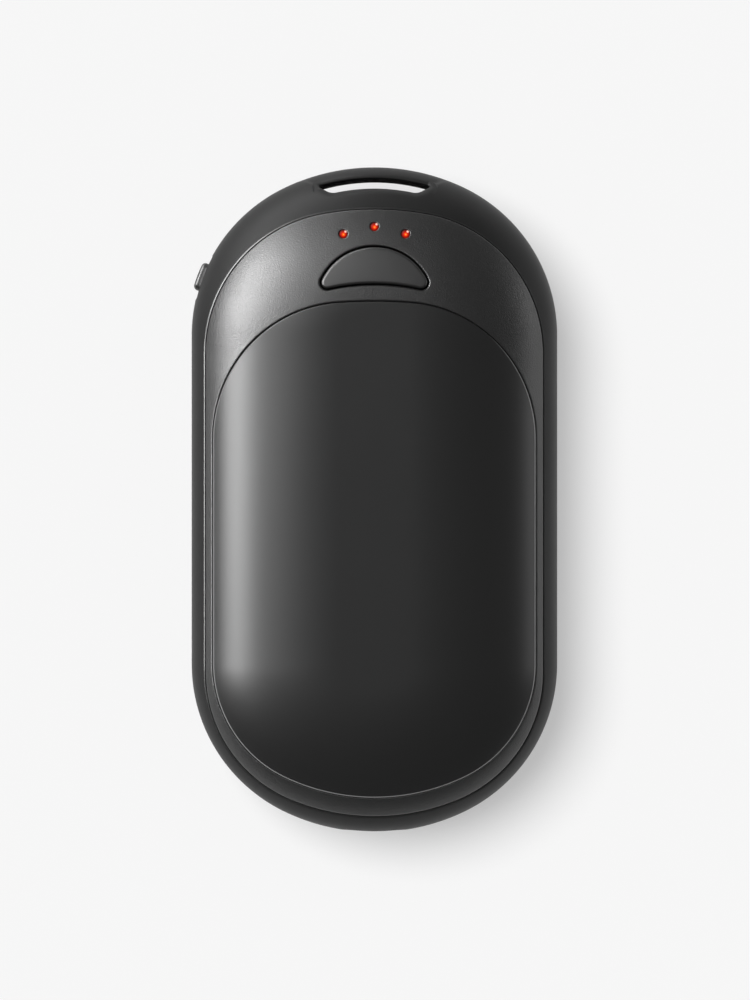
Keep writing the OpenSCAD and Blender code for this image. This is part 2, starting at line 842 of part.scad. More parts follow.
// Flat cable over the cells, between the two boards
module board_link_ribbon() {
    from = charge_board_y - ribbon_t - inner_play;
    to = control_board_y + ribbon_t + inner_play;
    size = [to - from, 2 * (ribbon_top - board_top)];
    color("gray") on_ground() translate([-ribbon_w / 2, (from + to) / 2, board_top])
        rotate([90, 0, 90]) linear_extrude(height = ribbon_w) intersection() {
            difference() {
                rounded_plate(size, ribbon_bend);
                rounded_plate(size - [2 * ribbon_t, 2 * ribbon_t], ribbon_bend - ribbon_t);
            }
            translate([-size.x, 0]) square([2 * size.x, size.y]);
        }
}

// Flat tail of a heater film, through its cover and past the cells to the control board
module heater_tail(side, board_face) {
    film = skin_z([tail_x + tail_w / 2, tail_y], plate_t + film_t + 2 * film_play);
    level = sqrt(pow(cell_r, 2) - pow(cell_x - tail_x - tail_w / 2, 2)) + inner_play;
    drop_y = control_board_y + tail_t;
    translate([side * tail_x - tail_w / 2, 0, 0]) rotate([90, 0, 90]) linear_extrude(height = tail_w) {
        translate([tail_y - tail_t / 2, level]) square([tail_t, film - level]);
        translate([tail_y - tail_t / 2, level]) square([drop_y + tail_t - tail_y + tail_t / 2, tail_t]);
        translate([drop_y, board_face]) square([tail_t, level + tail_t - board_face]);
    }
}

module heater_tails() {
    color("#c07a2c") on_ground() {
        heater_tail(-1, board_top);
        mirror([0, 0, 1]) heater_tail(1, board_t - board_top);
    }
}

// Cell with its raised contact at the upper end
module battery_cell(side) {
    color("steelblue") on_ground() translate([side * cell_x, -cell_low, 0]) rotate([-90, 0, 0]) {
        cylinder(r = cell_r, h = cell_case_l);
        cylinder(r = cell_cap_r, h = cell_l);
    }
}

module battery_cell_left() { battery_cell(-1); }

module battery_cell_right() { battery_cell(1); }

// Strips welded across both ends of the cells
module nickel_strips() {
    color("lightgray") on_ground() for (y = [-cell_low - strip_t, cell_top])
        translate([-strip_l / 2, y, -strip_w / 2]) cube([strip_l, strip_t, strip_w]);
}

// Leads from the strips to the two boards
module battery_leads() {
    color("red") on_ground() for (x = [-1, 1]) {
        translate([x * lead_x, cell_top + strip_t, board_top + lead_r]) rotate([-90, 0, 0])
            cylinder(r = lead_r, h = lead_l);
        translate([x * lead_x, -cell_low - strip_t, board_top + lead_r]) rotate([90, 0, 0])
            cylinder(r = lead_r, h = lead_l);
    }
}

// Two places of the cells, as circles in cross section
module cell_circles(play) {
    for (side = [-1, 1]) translate([side * cell_x, 0]) circle(r = cell_r + play);
}

// Moulded saddle for the cells: two ribs that stand on the rear cover, and a keel between them
module cell_cradle() {
    t = cover_wall + inner_play;
    color("#55585c") on_ground() mirror([0, 0, 1]) {
        for (y = [-1, 1]) translate([0, y * cradle_y - cell_low + cell_l / 2, 0]) rotate([90, 0, 0])
            linear_extrude(height = cradle_rib, center = true) difference() {
                intersection() {
                    inner_section(t, 2 * cradle_w);
                    translate([-cradle_w, cradle_top]) square([2 * cradle_w, half_t]);
                }
                cell_circles(inner_play);
            }
        translate([-keel_w / 2, -cradle_y - cell_low + cell_l / 2, keel_top])
            cube([keel_w, 2 * cradle_y, half_t - t - keel_top]);
    }
}

// Foam between the cells and the front cover
module cell_foam_pad() {
    color("#6a6a6a") on_ground() rotate([90, 0, 0])
        linear_extrude(height = pad_l, center = true) difference() {
            intersection() {
                inner_section(cover_wall + inner_play, pad_w);
                translate([-pad_w / 2, pad_low]) square([pad_w, half_t]);
            }
            cell_circles(inner_play);
        }
}

// Sensor bead in each cover, under its heater film
module temperature_sensors() {
    color("black") on_ground() for (face = [0, 1]) mirror([0, 0, face])
        pin([0, sensor_y], sensor_r, half_t - cover_wall, half_t - recess_t);
}

// Screws from the rear, hidden under the rear heat plate
module cover_screws() {
    color("silver") on_ground() mirror([0, 0, 1]) for (p = screw_places) {
        pin(p, screw_head_r, screw_seat, screw_seat + screw_head_h);
        pin(p, screw_r, inner_play - screw_depth, screw_seat);
    }
}

// Screws that hold the boards on the rear cover's posts
module board_screws() {
    color("silver") on_ground() for (p = post_places) {
        pin(p, board_head_r, board_top, board_top + board_head_h);
        pin(p, board_screw_r, board_top - board_t - board_screw_l, board_top);
    }
}

mid_frame();
front_cover();
front_heat_plate();
front_heater_film();
rear_cover();
rear_heat_plate();
rear_heater_film();
power_button();
indicator_lenses();
side_switch_knob();
slide_switch_body();
slide_switch_slider();
control_board();
tact_switch_body();
tact_switch_plunger();
indicator_leds();
control_chip();
heater_transistors();
control_capacitors();
charge_board();
usb_socket_shell();
usb_socket_tongue();
charge_chip();
power_inductor();
charge_capacitors();
board_link_ribbon();
heater_tails();
battery_cell_left();
battery_cell_right();
nickel_strips();
battery_leads();
cell_cradle();
cell_foam_pad();
temperature_sensors();
cover_screws();
board_screws();
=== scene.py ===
"""Pocket hand warmer with rechargeable cells, in a studio picture taken from straight above.

Sizes are in millimetres, as in the part's source, and become metres where a mesh is made. X runs across the width,
Y along the length towards the lanyard slot and Z through the thickness, with the rear face on Z = 0.
"""

import json
import logging
import math
from collections.abc import Iterable
from dataclasses import dataclass
from enum import Enum

import bpy
import numpy as np
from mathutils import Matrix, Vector
from mathutils.geometry import delaunay_2d_cdt

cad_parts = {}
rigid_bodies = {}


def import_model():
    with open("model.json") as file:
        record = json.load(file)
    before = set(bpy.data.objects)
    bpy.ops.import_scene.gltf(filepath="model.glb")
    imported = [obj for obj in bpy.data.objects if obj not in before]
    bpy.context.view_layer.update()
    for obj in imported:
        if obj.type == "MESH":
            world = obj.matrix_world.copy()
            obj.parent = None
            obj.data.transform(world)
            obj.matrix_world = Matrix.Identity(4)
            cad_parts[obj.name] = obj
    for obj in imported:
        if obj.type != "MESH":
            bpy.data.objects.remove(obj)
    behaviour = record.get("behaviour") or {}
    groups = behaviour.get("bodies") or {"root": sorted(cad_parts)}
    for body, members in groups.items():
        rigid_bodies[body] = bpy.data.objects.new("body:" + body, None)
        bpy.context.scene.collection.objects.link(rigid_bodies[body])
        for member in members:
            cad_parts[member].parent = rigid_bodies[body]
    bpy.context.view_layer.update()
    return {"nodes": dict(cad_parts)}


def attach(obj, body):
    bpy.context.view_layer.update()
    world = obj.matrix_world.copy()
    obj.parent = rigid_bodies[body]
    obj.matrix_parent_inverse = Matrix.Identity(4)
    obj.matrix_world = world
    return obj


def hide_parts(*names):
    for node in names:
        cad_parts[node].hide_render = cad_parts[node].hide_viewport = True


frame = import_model()

LOG = logging.getLogger("hand_warmer")
MM = 0.001
HALF_T = 12.5
Array = np.ndarray
Object, Tree, Node, Socket = bpy.types.Object, bpy.types.NodeTree, bpy.types.Node, bpy.types.NodeSocket


class Side(Enum):
    """Face of the body that a cover or a plate belongs to."""

    FRONT = 1
    REAR = -1


# ---------------------------------------------------------------- loops in a plane


@dataclass(frozen=True)
class Loop:
    """Line in a plane, mostly closed and counterclockwise, with unit normals that point out of it."""

    points: Array
    normals: Array

    def offset(self, distance: float) -> Array:
        """Points moved outwards along the normals."""
        return self.points + distance * self.normals

    def rims(self, distances: Iterable[float], radius: float = 0.0) -> list[tuple[Array, Array]]:
        """Rings at distances outside, each with the drop of an edge that is rounded by a radius."""
        return [(self.offset(d), rounding(np.full(len(self.points), d), radius)) for d in distances]

    def along(self) -> Array:
        """Distance of each point along the closed line, and of its first point once more at the end."""
        steps = np.diff(np.vstack([self.points, self.points[:1]]), axis=0)
        return np.concatenate([[0], np.cumsum(np.hypot(*steps.T))])

    def spread(self, count: int) -> "Loop":
        """The same closed line with a number of even steps, interpolated along its length."""
        along = self.along()
        at = np.linspace(0, along[-1], count, endpoint=False)
        points, turned = (np.stack([np.interp(at, along, np.append(part[:, i], part[0, i])) for i in (0, 1)], -1)
                          for part in (self.points, self.normals))
        return Loop(points, turned / np.linalg.norm(turned, axis=1, keepdims=True))

    def spaced(self, spacing: float) -> "Loop":
        """The same closed line with even steps of about one spacing."""
        return self.spread(max(12, round(self.along()[-1] / spacing)))


def joined(parts: list[Loop]) -> Loop:
    """One line from several."""
    return Loop(np.concatenate([part.points for part in parts]), np.concatenate([part.normals for part in parts]))


def arc(centre: tuple[float, float], radius: float, low: float, high: float, steps: int, whole: bool = True) -> Loop:
    """Arc between two angles: a centre plus the radius times the unit vector of each angle.

    Args:
        centre: its centre.
        radius: its radius.
        low: its first angle in radians.
        high: its last angle.
        steps: number of points.
        whole: puts the last point on the last angle, and not one step before it.

    Returns:
        The arc as an open line.
    """
    angle = np.linspace(low, high, steps, endpoint=whole)
    normal = np.stack([np.cos(angle), np.sin(angle)], -1)
    return Loop(np.array(centre) + radius * normal, normal)


def circle(centre: tuple[float, float], radius: float) -> Loop:
    """Circle of 36 points."""
    return arc(centre, radius, 0, 2 * math.pi, 36, whole=False)


def rounded_polygon(corners: Array, radii: Array, steps: int = 9) -> Loop:
    """Convex polygon with rounded corners; each arc's centre lies on the bisector of its corner.

    Args:
        corners: corners in counterclockwise order.
        radii: radius of each corner.
        steps: points of each arc.

    Returns:
        The loop.
    """
    corners, radii = np.asarray(corners, float), np.asarray(radii, float)
    ahead = np.roll(corners, -1, 0) - corners
    ahead /= np.linalg.norm(ahead, axis=1, keepdims=True)
    behind = np.roll(ahead, 1, 0)
    first = np.arctan2(-behind[:, 0], behind[:, 1])
    last = np.arctan2(-ahead[:, 0], ahead[:, 1])
    turn = (last - first) % (2 * math.pi)
    bisector = ahead - behind
    bisector /= np.linalg.norm(bisector, axis=1, keepdims=True)
    centres = corners + bisector * (radii / np.cos(turn / 2))[:, None]
    angle = first[:, None] + turn[:, None] * np.linspace(0, 1, steps)
    ray = np.stack([np.cos(angle), np.sin(angle)], -1)
    points = centres[:, None] + radii[:, None, None] * ray
    return Loop(points.reshape(-1, 2), ray.reshape(-1, 2))


def rounded_rectangle(size: tuple[float, float], radius: float) -> Loop:
    """Centred rectangle with four equal round corners."""
    x, y = size[0] / 2, size[1] / 2
    return rounded_polygon([(-x, -y), (x, -y), (x, y), (-x, y)], [radius] * 4)


def rounding(distance: Array, radius: Array) -> Array:
    """Drop of a rounded edge: radius minus the root of radius^2 - (radius - distance)^2."""
    reach = np.clip(radius - distance, 0, None)
    return radius - np.sqrt(np.clip(radius ** 2 - reach ** 2, 0, None))


def lift(plan: Array, z: Array) -> Array:
    """Plan points with their heights."""
    return np.concatenate([plan, np.asarray(z)[..., None]], -1)


def level(plan: Array, z: float) -> Array:
    """Plan points at one height."""
    return lift(plan, np.full(len(plan), z))


def copies(ring: Array, shares: Array) -> Array:
    """Rows that repeat a ring of points at shares of their own heights."""
    return ring * np.stack([np.ones_like(shares), np.ones_like(shares), shares], -1)[:, None]


def between(a: Array, b: Array, share: Array) -> Array:
    """Rows of points on the way from one curve to another."""
    return a + (b - a) * np.asarray(share)[:, None, None]


def ring_segments(ring: Array) -> Array:
    """Start and end of each side of a closed ring."""
    return np.stack([ring, np.roll(ring, -1, 0)], 1)


def enclosed(places: Array, segments: Array) -> Array:
    """Tells which places closed lines enclose, by the parity of the crossings of a ray along X.

    Args:
        places: places to test.
        segments: start and end of each line, as (n, 2, 2).

    Returns:
        True where the parity is odd.
    """
    x, y = places[:, None, 0], places[:, None, 1]
    (x0, y0), (x1, y1) = segments[:, 0].T, segments[:, 1].T
    spans = (y0 > y) != (y1 > y)
    at = x0 + (y - y0) * (x1 - x0) / np.where(y1 == y0, 1, y1 - y0)
    return (np.sum(spans & (at > x), axis=1) % 2) == 1


def near_ring(places: Array, ring: Array, reach: float) -> Array:
    """Tells which places a ring encloses or has within a distance of one of its points."""
    gap = np.linalg.norm(places[:, None] - ring[None], axis=2).min(1)
    return (gap < reach) | enclosed(places, ring_segments(ring))


# ---------------------------------------------------------------- plan curves and the skin


@dataclass(frozen=True)
class Tip:
    """One end of a plan curve: its distance from the middle, and its tip's and shoulders' radii."""

    reach: float
    radius: float
    shoulder: float


@dataclass(frozen=True)
class PlanCurve:
    """Closed curve of a pebble in plan: two round tips, four shoulders and two straight sides, all tangent."""

    half: float
    upper: Tip
    lower: Tip
    shoulder_steps: int = 60
    tip_steps: int = 120
    side_steps: int = 90

    def drop(self, tip: Tip) -> float:
        """Distance along Y from a tip's centre to the start of its shoulders."""
        return math.sqrt((tip.radius - tip.shoulder) ** 2 - (self.half - tip.shoulder) ** 2)

    def start(self, tip: Tip) -> float:
        """Distance of the shoulders' start from the middle."""
        return tip.reach - tip.radius + self.drop(tip)

    def end(self, tip: Tip) -> Loop:
        """Right shoulder, tip and left shoulder of an end, as if it were the upper one."""
        side, start = self.half - tip.shoulder, self.start(tip)
        turn = math.atan2(self.drop(tip), side)
        spans = [((side, start), tip.shoulder, 0.0, turn, self.shoulder_steps),
                 ((0.0, tip.reach - tip.radius), tip.radius, turn, math.pi - turn, self.tip_steps),
                 ((-side, start), tip.shoulder, math.pi - turn, math.pi, self.shoulder_steps)]
        return joined([arc(*span, whole=False) for span in spans])

    def sample(self, inset: float = 0.0) -> Array:
        """Points of the curve, counterclockwise from the right side, moved inwards along its normals.

        Args:
            inset: distance inside the curve.

        Returns:
            Points, one row each.
        """
        low = self.end(self.lower)
        share = np.linspace(0, 1, self.side_steps, endpoint=False)[:, None]
        top, bottom = self.start(self.upper), -self.start(self.lower)
        left = np.array([-self.half, top]) + share * np.array([0, bottom - top])
        right = np.array([self.half, bottom]) + share * np.array([0, top - bottom])
        across = np.zeros_like(left) + np.array([1.0, 0.0])
        return joined([self.end(self.upper), Loop(left, -across), Loop(-low.points, -low.normals),
                       Loop(right, across)]).offset(-inset)

    def samples(self, insets: Iterable[float]) -> Array:
        """The curve at several insets, as rows."""
        return np.stack([self.sample(inset) for inset in insets])


@dataclass(frozen=True)
class Pebble:
    """Outer skin of the body: a plan curve and a nearly elliptical section that flattens in the middle."""

    outline: PlanCurve = PlanCurve(27.5, Tip(50, 31.3, 24.65), Tip(50, 31.3, 24.65))
    half_t: float = HALF_T
    flat_in: float = 22.3
    fullness: float = 2.1

    def depth(self, plan: Array) -> Array:
        """Distance in plan from the outline: to the side, the shoulder's arc or the tip's arc.

        Args:
            plan: plan points.

        Returns:
            Distances, positive inside.
        """
        x, y = plan[..., 0], plan[..., 1]
        tip = self.outline.upper
        beyond = np.abs(y) - self.outline.start(tip)
        out = np.abs(x) - self.outline.half + tip.shoulder
        drop = self.outline.drop(tip)
        turn = math.atan2(drop, self.outline.half - tip.shoulder)
        shoulder = tip.shoulder - np.hypot(out, beyond)
        end = tip.radius - np.hypot(x, beyond + drop)
        ends = np.where(np.arctan2(beyond, out) < turn, shoulder, end)
        return np.where(beyond < 0, self.outline.half - np.abs(x), ends)

    def height(self, plan: Array, inside: float = 0.0) -> Array:
        """Height over the middle plane: thickness times (1 - (1 - depth/flat)^n)^(1/n).

        Args:
            plan: plan points.
            inside: distance of the wanted skin inside the outer one.

        Returns:
            Heights.
        """
        flat = self.flat_in - inside
        away = 1 - np.clip(self.depth(plan) - inside, 0, flat) / flat
        return (self.half_t - inside) * (1 - away ** self.fullness) ** (1 / self.fullness)

    def lifted(self, plan: Array, inside: float = 0.0, drop: float | Array = 0.0) -> Array:
        """Plan points on a skin inside the outer one, lowered by a drop."""
        return lift(plan, self.height(plan, inside) - drop)

    def depth_at(self, z: Array) -> Array:
        """Distance in plan from the outline at which the skin has a height: the section solved for depth."""
        rest = 1 - np.clip(np.abs(z) / self.half_t, 0, 1) ** self.fullness
        return self.flat_in * (1 - rest ** (1 / self.fullness))


SKIN = Pebble()
SEAM = PlanCurve(25.2, Tip(43.1, 45, 21), Tip(47.2, 33, 20.4))
PLATE = {
    Side.FRONT: PlanCurve(23.97, Tip(29.2, 76, 20), Tip(44.2, 31.5, 18.5)),
    Side.REAR: PlanCurve(23.97, Tip(40, 42, 20), Tip(44.2, 31.5, 18.5)),
}
SEAM_FRAME = 0.03
SEAM_GAP = 0.08
PLATE_GROW = 0.03
COVER_WALL = 2.1
EDGE_H = 2.6


def underside(plan: Array, play: float = 0.0) -> Array:
    """Plan points under a cover: on the skin inside its wall, but no deeper than the edge's height."""
    return lift(plan, np.maximum(SKIN.height(plan, COVER_WALL + play), SKIN.height(plan) - EDGE_H - play))


# ---------------------------------------------------------------- meshes


def placed(name: str, data: bpy.types.ID) -> Object:
    """New object of some data, in the scene."""
    made = bpy.data.objects.new(name, data)
    bpy.context.scene.collection.objects.link(made)
    return made


@dataclass
class Lattice:
    """Rows and columns of points, closed along the columns, with their ids and the cells that holes leave out."""

    points: Array
    ids: Array

    def __post_init__(self) -> None:
        """Starts with no cell left out."""
        self.skipped = np.zeros((len(self.ids) - 1, self.ids.shape[1]), bool)


def cell_middles(points: Array) -> Array:
    """Middle of each cell of a lattice's points."""
    middle = (points[:-1] + points[1:]) / 2
    return (middle + np.roll(middle, -1, 1)) / 2


@dataclass(frozen=True)
class Hole:
    """Hole through a lattice: its rings from the edge outwards, in the lattice's own plane, and their ids."""

    rings: list[Array]
    ids: list[Array]


class Shell:
    """Points and faces of one piece, collected as whole arrays."""

    def __init__(self) -> None:
        """Starts with no points."""
        self.points: list[Array] = []
        self.faces: list[tuple[Array, "Finish | None"]] = []
        self.count = 0

    def add(self, points: Array) -> Array:
        """Adds points of any array shape.

        Args:
            points: coordinates over the middle plane, with X, Y and Z on the last axis.

        Returns:
            Their ids, in the same shape.
        """
        flat = np.asarray(points, float).reshape(-1, 3)
        ids = np.arange(self.count, self.count + len(flat))
        self.points.append(flat)
        self.count += len(flat)
        return ids.reshape(np.shape(points)[:-1])

    def lattice(self, points: Array) -> Lattice:
        """Adds the points of a lattice."""
        return Lattice(points, self.add(points))

    def hole(self, rings: Iterable[tuple[Array, Array]]) -> Hole:
        """Adds a hole's rings, each given in the lattice's plane and in space."""
        rings = list(rings)
        return Hole([plane for plane, _ in rings], [self.add(space) for _, space in rings])

    def cover(self, faces: Array, flip: bool = False, finish: "Finish | None" = None) -> None:
        """Adds faces, turned over if wanted, which can have a finish of their own."""
        self.faces.append((faces[:, ::-1] if flip else faces, finish))

    def weave(self, ids: Array, skip: Array | None = None, flip: bool = False,
              finish: "Finish | None" = None) -> None:
        """Joins each row of ids to the next one, round the columns.

        Args:
            ids: ids as rows and columns, where rows that run outwards over counterclockwise columns face up.
            skip: cells that are left out.
            flip: turns the faces over.
            finish: finish of these faces, where it isn't the piece's.
        """
        ahead = np.roll(ids, -1, 1)
        cells = np.stack([ids[:-1], ids[1:], ahead[1:], ahead[:-1]], -1)
        self.cover(cells.reshape(-1, 4) if skip is None else cells[~skip], flip, finish)

    def cap(self, ring: Array, flip: bool = False) -> None:
        """Closes a ring with triangles to its middle point."""
        middle = self.add(np.concatenate(self.points)[ring].mean(0)[None])[0]
        self.cover(np.stack([np.full(len(ring), middle), ring, np.roll(ring, -1)], -1), flip)

    def solid(self, rows: Array, flip: bool = False) -> None:
        """Adds a closed body of rows with a cap at both ends, whose rows run down, or up if it is flipped."""
        ids = self.add(rows)
        self.weave(ids, flip=flip)
        top, foot = (-1, 0) if flip else (0, -1)
        self.cap(ids[top])
        self.cap(ids[foot], flip=True)

    def punch(self, lattice: Lattice, plane: Array, cells: Array, holes: list[Hole], flip: bool = False) -> None:
        """Leaves cells of a lattice out and fills them with triangles round holes.

        Args:
            lattice: the lattice.
            plane: place of each of its points in the plane of the holes.
            cells: True at the cells to leave out.
            holes: the holes, whose rings all lie in those cells.
            flip: turns the triangles over.
        """
        lattice.skipped |= cells
        columns = lattice.ids.shape[1]
        row, column = np.nonzero(cells)
        ahead = (column + 1) % columns
        corners = (np.stack([row, row + 1, row + 1, row]) * columns + np.stack([column, column, ahead, ahead])).T
        pairs = np.sort(np.stack([corners, np.roll(corners, -1, 1)], -1).reshape(-1, 2), axis=1)
        edges, seen = np.unique(pairs, axis=0, return_counts=True)
        border = edges[seen == 1]
        rim = np.unique(border)
        places = plane.reshape(-1, 2)
        inner = np.setdiff1d(np.unique(corners), rim)
        for hole in holes:
            outer = hole.rings[-1]
            step = np.linalg.norm(outer - np.roll(outer, 1, 0), axis=1).mean()
            inner = inner[~near_ring(places[inner], outer, 0.7 * step)]
        kept = np.concatenate([rim, inner])
        flat, ids = [places[kept]], [lattice.ids.reshape(-1)[kept]]
        sides = np.searchsorted(rim, border).tolist()
        count = len(kept)
        for hole in holes:
            for ring, ring_ids in zip(hole.rings, hole.ids):
                sides += ring_segments(np.arange(count, count + len(ring))).tolist()
                flat.append(ring)
                ids.append(ring_ids)
                count += len(ring)
        flat, ids = np.concatenate(flat), np.concatenate(ids)
        found = delaunay_2d_cdt([tuple(p) for p in flat], sides, [], 0, 1e-7)
        source = np.array([origin[0] if origin else -1 for origin in found[3]])
        faces = source[np.array(found[2])]
        faces = faces[(faces >= 0).all(1)]
        a, b, c = flat[faces[:, 0]], flat[faces[:, 1]], flat[faces[:, 2]]
        area = (b[:, 0] - a[:, 0]) * (c[:, 1] - a[:, 1]) - (b[:, 1] - a[:, 1]) * (c[:, 0] - a[:, 0])
        faces = np.where((area < 0)[:, None], faces[:, ::-1], faces)
        segments = np.concatenate([places[border]] + [ring_segments(hole.rings[0]) for hole in holes])
        self.cover(ids[faces[enclosed((a + b + c) / 3, segments) & (np.abs(area) > 1e-9)]], flip)

    def piece(self, name: str, finish: "Finish", turned: bool = False) -> Object:
        """Makes the object from the points that faces use, with its rear face on the ground.

        Args:
            name: the object's name.
            finish: its finish.
            turned: mirrors the points through the middle plane, for what was built facing up.

        Returns:
            The new object, smooth shaded.
        """
        points = np.concatenate(self.points) * [1, 1, -1 if turned else 1]
        used = np.zeros(len(points), bool)
        for block, _ in self.faces:
            used[block] = True
        order = np.cumsum(used) - 1
        mesh = bpy.data.meshes.new(name)
        mesh.materials.append(finish.material())
        faces, slots = [], []
        for block, own in self.faces:
            faces += order[block[:, ::-1] if turned else block].tolist()
            if own:
                mesh.materials.append(own.material())
            slots += [len(mesh.materials) - 1 if own else 0] * len(block)
        mesh.from_pydata(((points[used] + [0, 0, HALF_T]) * MM).tolist(), [], faces)
        mesh.polygons.foreach_set("material_index", slots)
        mesh.shade_smooth()
        return placed(name, mesh)


# ---------------------------------------------------------------- finishes


def linear(colour: str) -> tuple[float, float, float, float]:
    """Linear colour of an sRGB hex value."""
    parts = [int(colour[i:i + 2], 16) / 255 for i in (1, 3, 5)]
    return (*[p / 12.92 if p <= 0.04045 else ((p + 0.055) / 1.055) ** 2.4 for p in parts], 1.0)


def node(tree: Tree, kind: str, settings: dict | None = None, **inputs) -> Node:
    """Adds a node.

    Args:
        tree: the tree that gets it.
        kind: the node's type, without its prefix.
        settings: attributes of the node.
        **inputs: a value or an output socket for each input, by its name with underscores, or i and its number.

    Returns:
        The node.
    """
    made = tree.nodes.new("ShaderNode" + kind)
    for key, value in (settings or {}).items():
        setattr(made, key, value)
    for key, value in inputs.items():
        socket = made.inputs[int(key[1:])] if key[0] == "i" and key[1:].isdigit() else \
            made.inputs[key.replace("_", " ")]
        if isinstance(value, Socket):
            tree.links.new(value, socket)
        else:
            socket.default_value = value
    return made


def mixed(tree: Tree, share: Socket, first: tuple | Socket,
          second: tuple) -> Socket:
    """Colour between two by a share."""
    return node(tree, "Mix", {"data_type": "RGBA"}, i0=share, i6=first, i7=second).outputs[2]


@dataclass(frozen=True)
class Finish:
    """Surface of one material: two near colours in a slow mottle, a grain in its bump, and its gloss."""

    name: str
    colour: str
    second: str
    roughness: float
    grain_mm: float = 0.3
    grain_depth_mm: float = 0.01
    mottle_mm: float = 12.0
    metallic: float = 0.0
    specular: float = 0.5
    stretch: tuple[float, float, float] = (1, 1, 1)
    gloss_change: float = 0.04
    sparkle: float = 0.0
    noise_turn: tuple[float, float, float] = (0.62, 0.41, 0.27)

    def material(self) -> bpy.types.Material:
        """The material, made once."""
        known = bpy.data.materials.get(self.name)
        if known:
            return known
        made = bpy.data.materials.new(self.name)
        made.use_nodes = True
        tree = made.node_tree
        shader = tree.nodes["Principled BSDF"]
        shader.inputs["Metallic"].default_value = self.metallic
        shader.inputs["Specular IOR Level"].default_value = self.specular
        self.dress(tree, shader)
        return made

    def dress(self, tree: Tree, shader: Node) -> None:
        """Links colour, roughness and bump.

        Args:
            tree: the material's tree.
            shader: its shader node.
        """
        place = node(tree, "TexCoord").outputs["Object"]
        # Turned, so that no lattice plane of the noise lies flat in a level face.
        mapping = node(tree, "Mapping", Vector=place, Scale=self.stretch, Rotation=self.noise_turn)
        mapped = mapping.outputs["Vector"]
        mottle = node(tree, "TexNoise", Vector=mapped, Scale=1 / (self.mottle_mm * MM), Detail=3.0)
        tone = mixed(tree, mottle.outputs["Fac"], linear(self.colour), linear(self.second))
        tree.links.new(tone, shader.inputs["Base Color"])
        middle = self.roughness - self.sparkle / 2
        gloss = node(tree, "MapRange", Value=mottle.outputs["Fac"], To_Min=middle - self.gloss_change,
                     To_Max=middle + self.gloss_change)
        grain = node(tree, "TexNoise", Vector=mapped, Scale=1 / (self.grain_mm * MM), Detail=2.0, Roughness=0.6)
        bump = node(tree, "Bump", Height=grain.outputs["Fac"], Strength=1.0, Distance=self.grain_depth_mm * MM)
        tree.links.new(bump.outputs["Normal"], shader.inputs["Normal"])
        # Pits of the grain are duller than its tops, so it shows most where light falls.
        pits = node(tree, "Math", {"operation": "MULTIPLY_ADD"}, i0=grain.outputs["Fac"], i1=self.sparkle,
                    i2=gloss.outputs["Result"])
        tree.links.new(pits.outputs[0], shader.inputs["Roughness"])


# Moulded ABS from a finely blasted tool: dark, even, with broad soft highlights.
FRAME_FINISH = Finish("moulded_abs_fine_matte", "#191919", "#1c1c1c", 0.48, 0.22, 0.004, 14, specular=0.22)
# The same ABS where a polished tool edge left it glossier: the frame's land along the seam.
LAND_FINISH = Finish("moulded_abs_polished_land", "#191919", "#1c1c1c", 0.34, 0.25, 0.002, 6, specular=0.7)
# Inside of the slot, left dull as the tool's core made it and painted darker than the frame as shade, so it stays dark
# at a grazing look.
SLOT_SHADE_FINISH = Finish("moulded_abs_dull_core_painted_shade", "#0e0e0f", "#111112", 0.85, 0.2, 0.006, 5, specular=0.1)
# Moulded ABS from a spark-eroded tool: its grit of about 0.2 mm sparkles where a highlight falls.
COVER_FINISH = Finish("moulded_abs_spark_grain", "#191919", "#1c1c1c", 0.375, 0.2, 0.035, 11, specular=0.93,
                      sparkle=0.3)
# Button of the same ABS and grit as the cover.
BUTTON_FINISH = Finish("moulded_abs_button_grain", "#191919", "#1c1c1c", 0.4, 0.22, 0.008, 6, specular=0.93)
# Aluminium under a satin lacquer: nearly grainless, with one long highlight.
PLATE_FINISH = Finish("lacquered_aluminium_satin", "#1a1a1a", "#1c1c1c", 0.356, 0.12, 0.0012, 30, specular=0.655,
                      gloss_change=0.015)


@dataclass(frozen=True)
class RimHighlightFinish(Finish):
    """Rim of a heat plate with a painted highlight: the second, lighter colour along the sides and the lower end fades
    out towards the arch.
    """

    arch: tuple[float, float] = (12.0, 24.0)

    def dress(self, tree: Tree, shader: Node) -> None:
        """Links colour, roughness and bump, then the painted highlight's fade along the plate.

        Args:
            tree: the material's tree.
            shader: its shader node.
        """
        super().dress(tree, shader)
        # Painted highlight: the lighter second colour below the arch, fading out between the two heights.
        place = node(tree, "SeparateXYZ", Vector=node(tree, "TexCoord").outputs["Object"])
        share = node(tree, "MapRange", Value=place.outputs["Y"], From_Min=self.arch[1] * MM,
                     From_Max=self.arch[0] * MM)
        tone = mixed(tree, share.outputs["Result"], linear(self.colour), linear(self.second))
        tree.links.new(tone, shader.inputs["Base Color"])


# The plate's rim, lacquered aluminium with a painted highlight: a light grey line along its sides and lower end.
RIM_HIGHLIGHT_FINISH = RimHighlightFinish("lacquered_aluminium_rim_painted_highlight", "#191919", "#8a8a8a", 0.4, 0.12, 0.001, 30, specular=0.5)


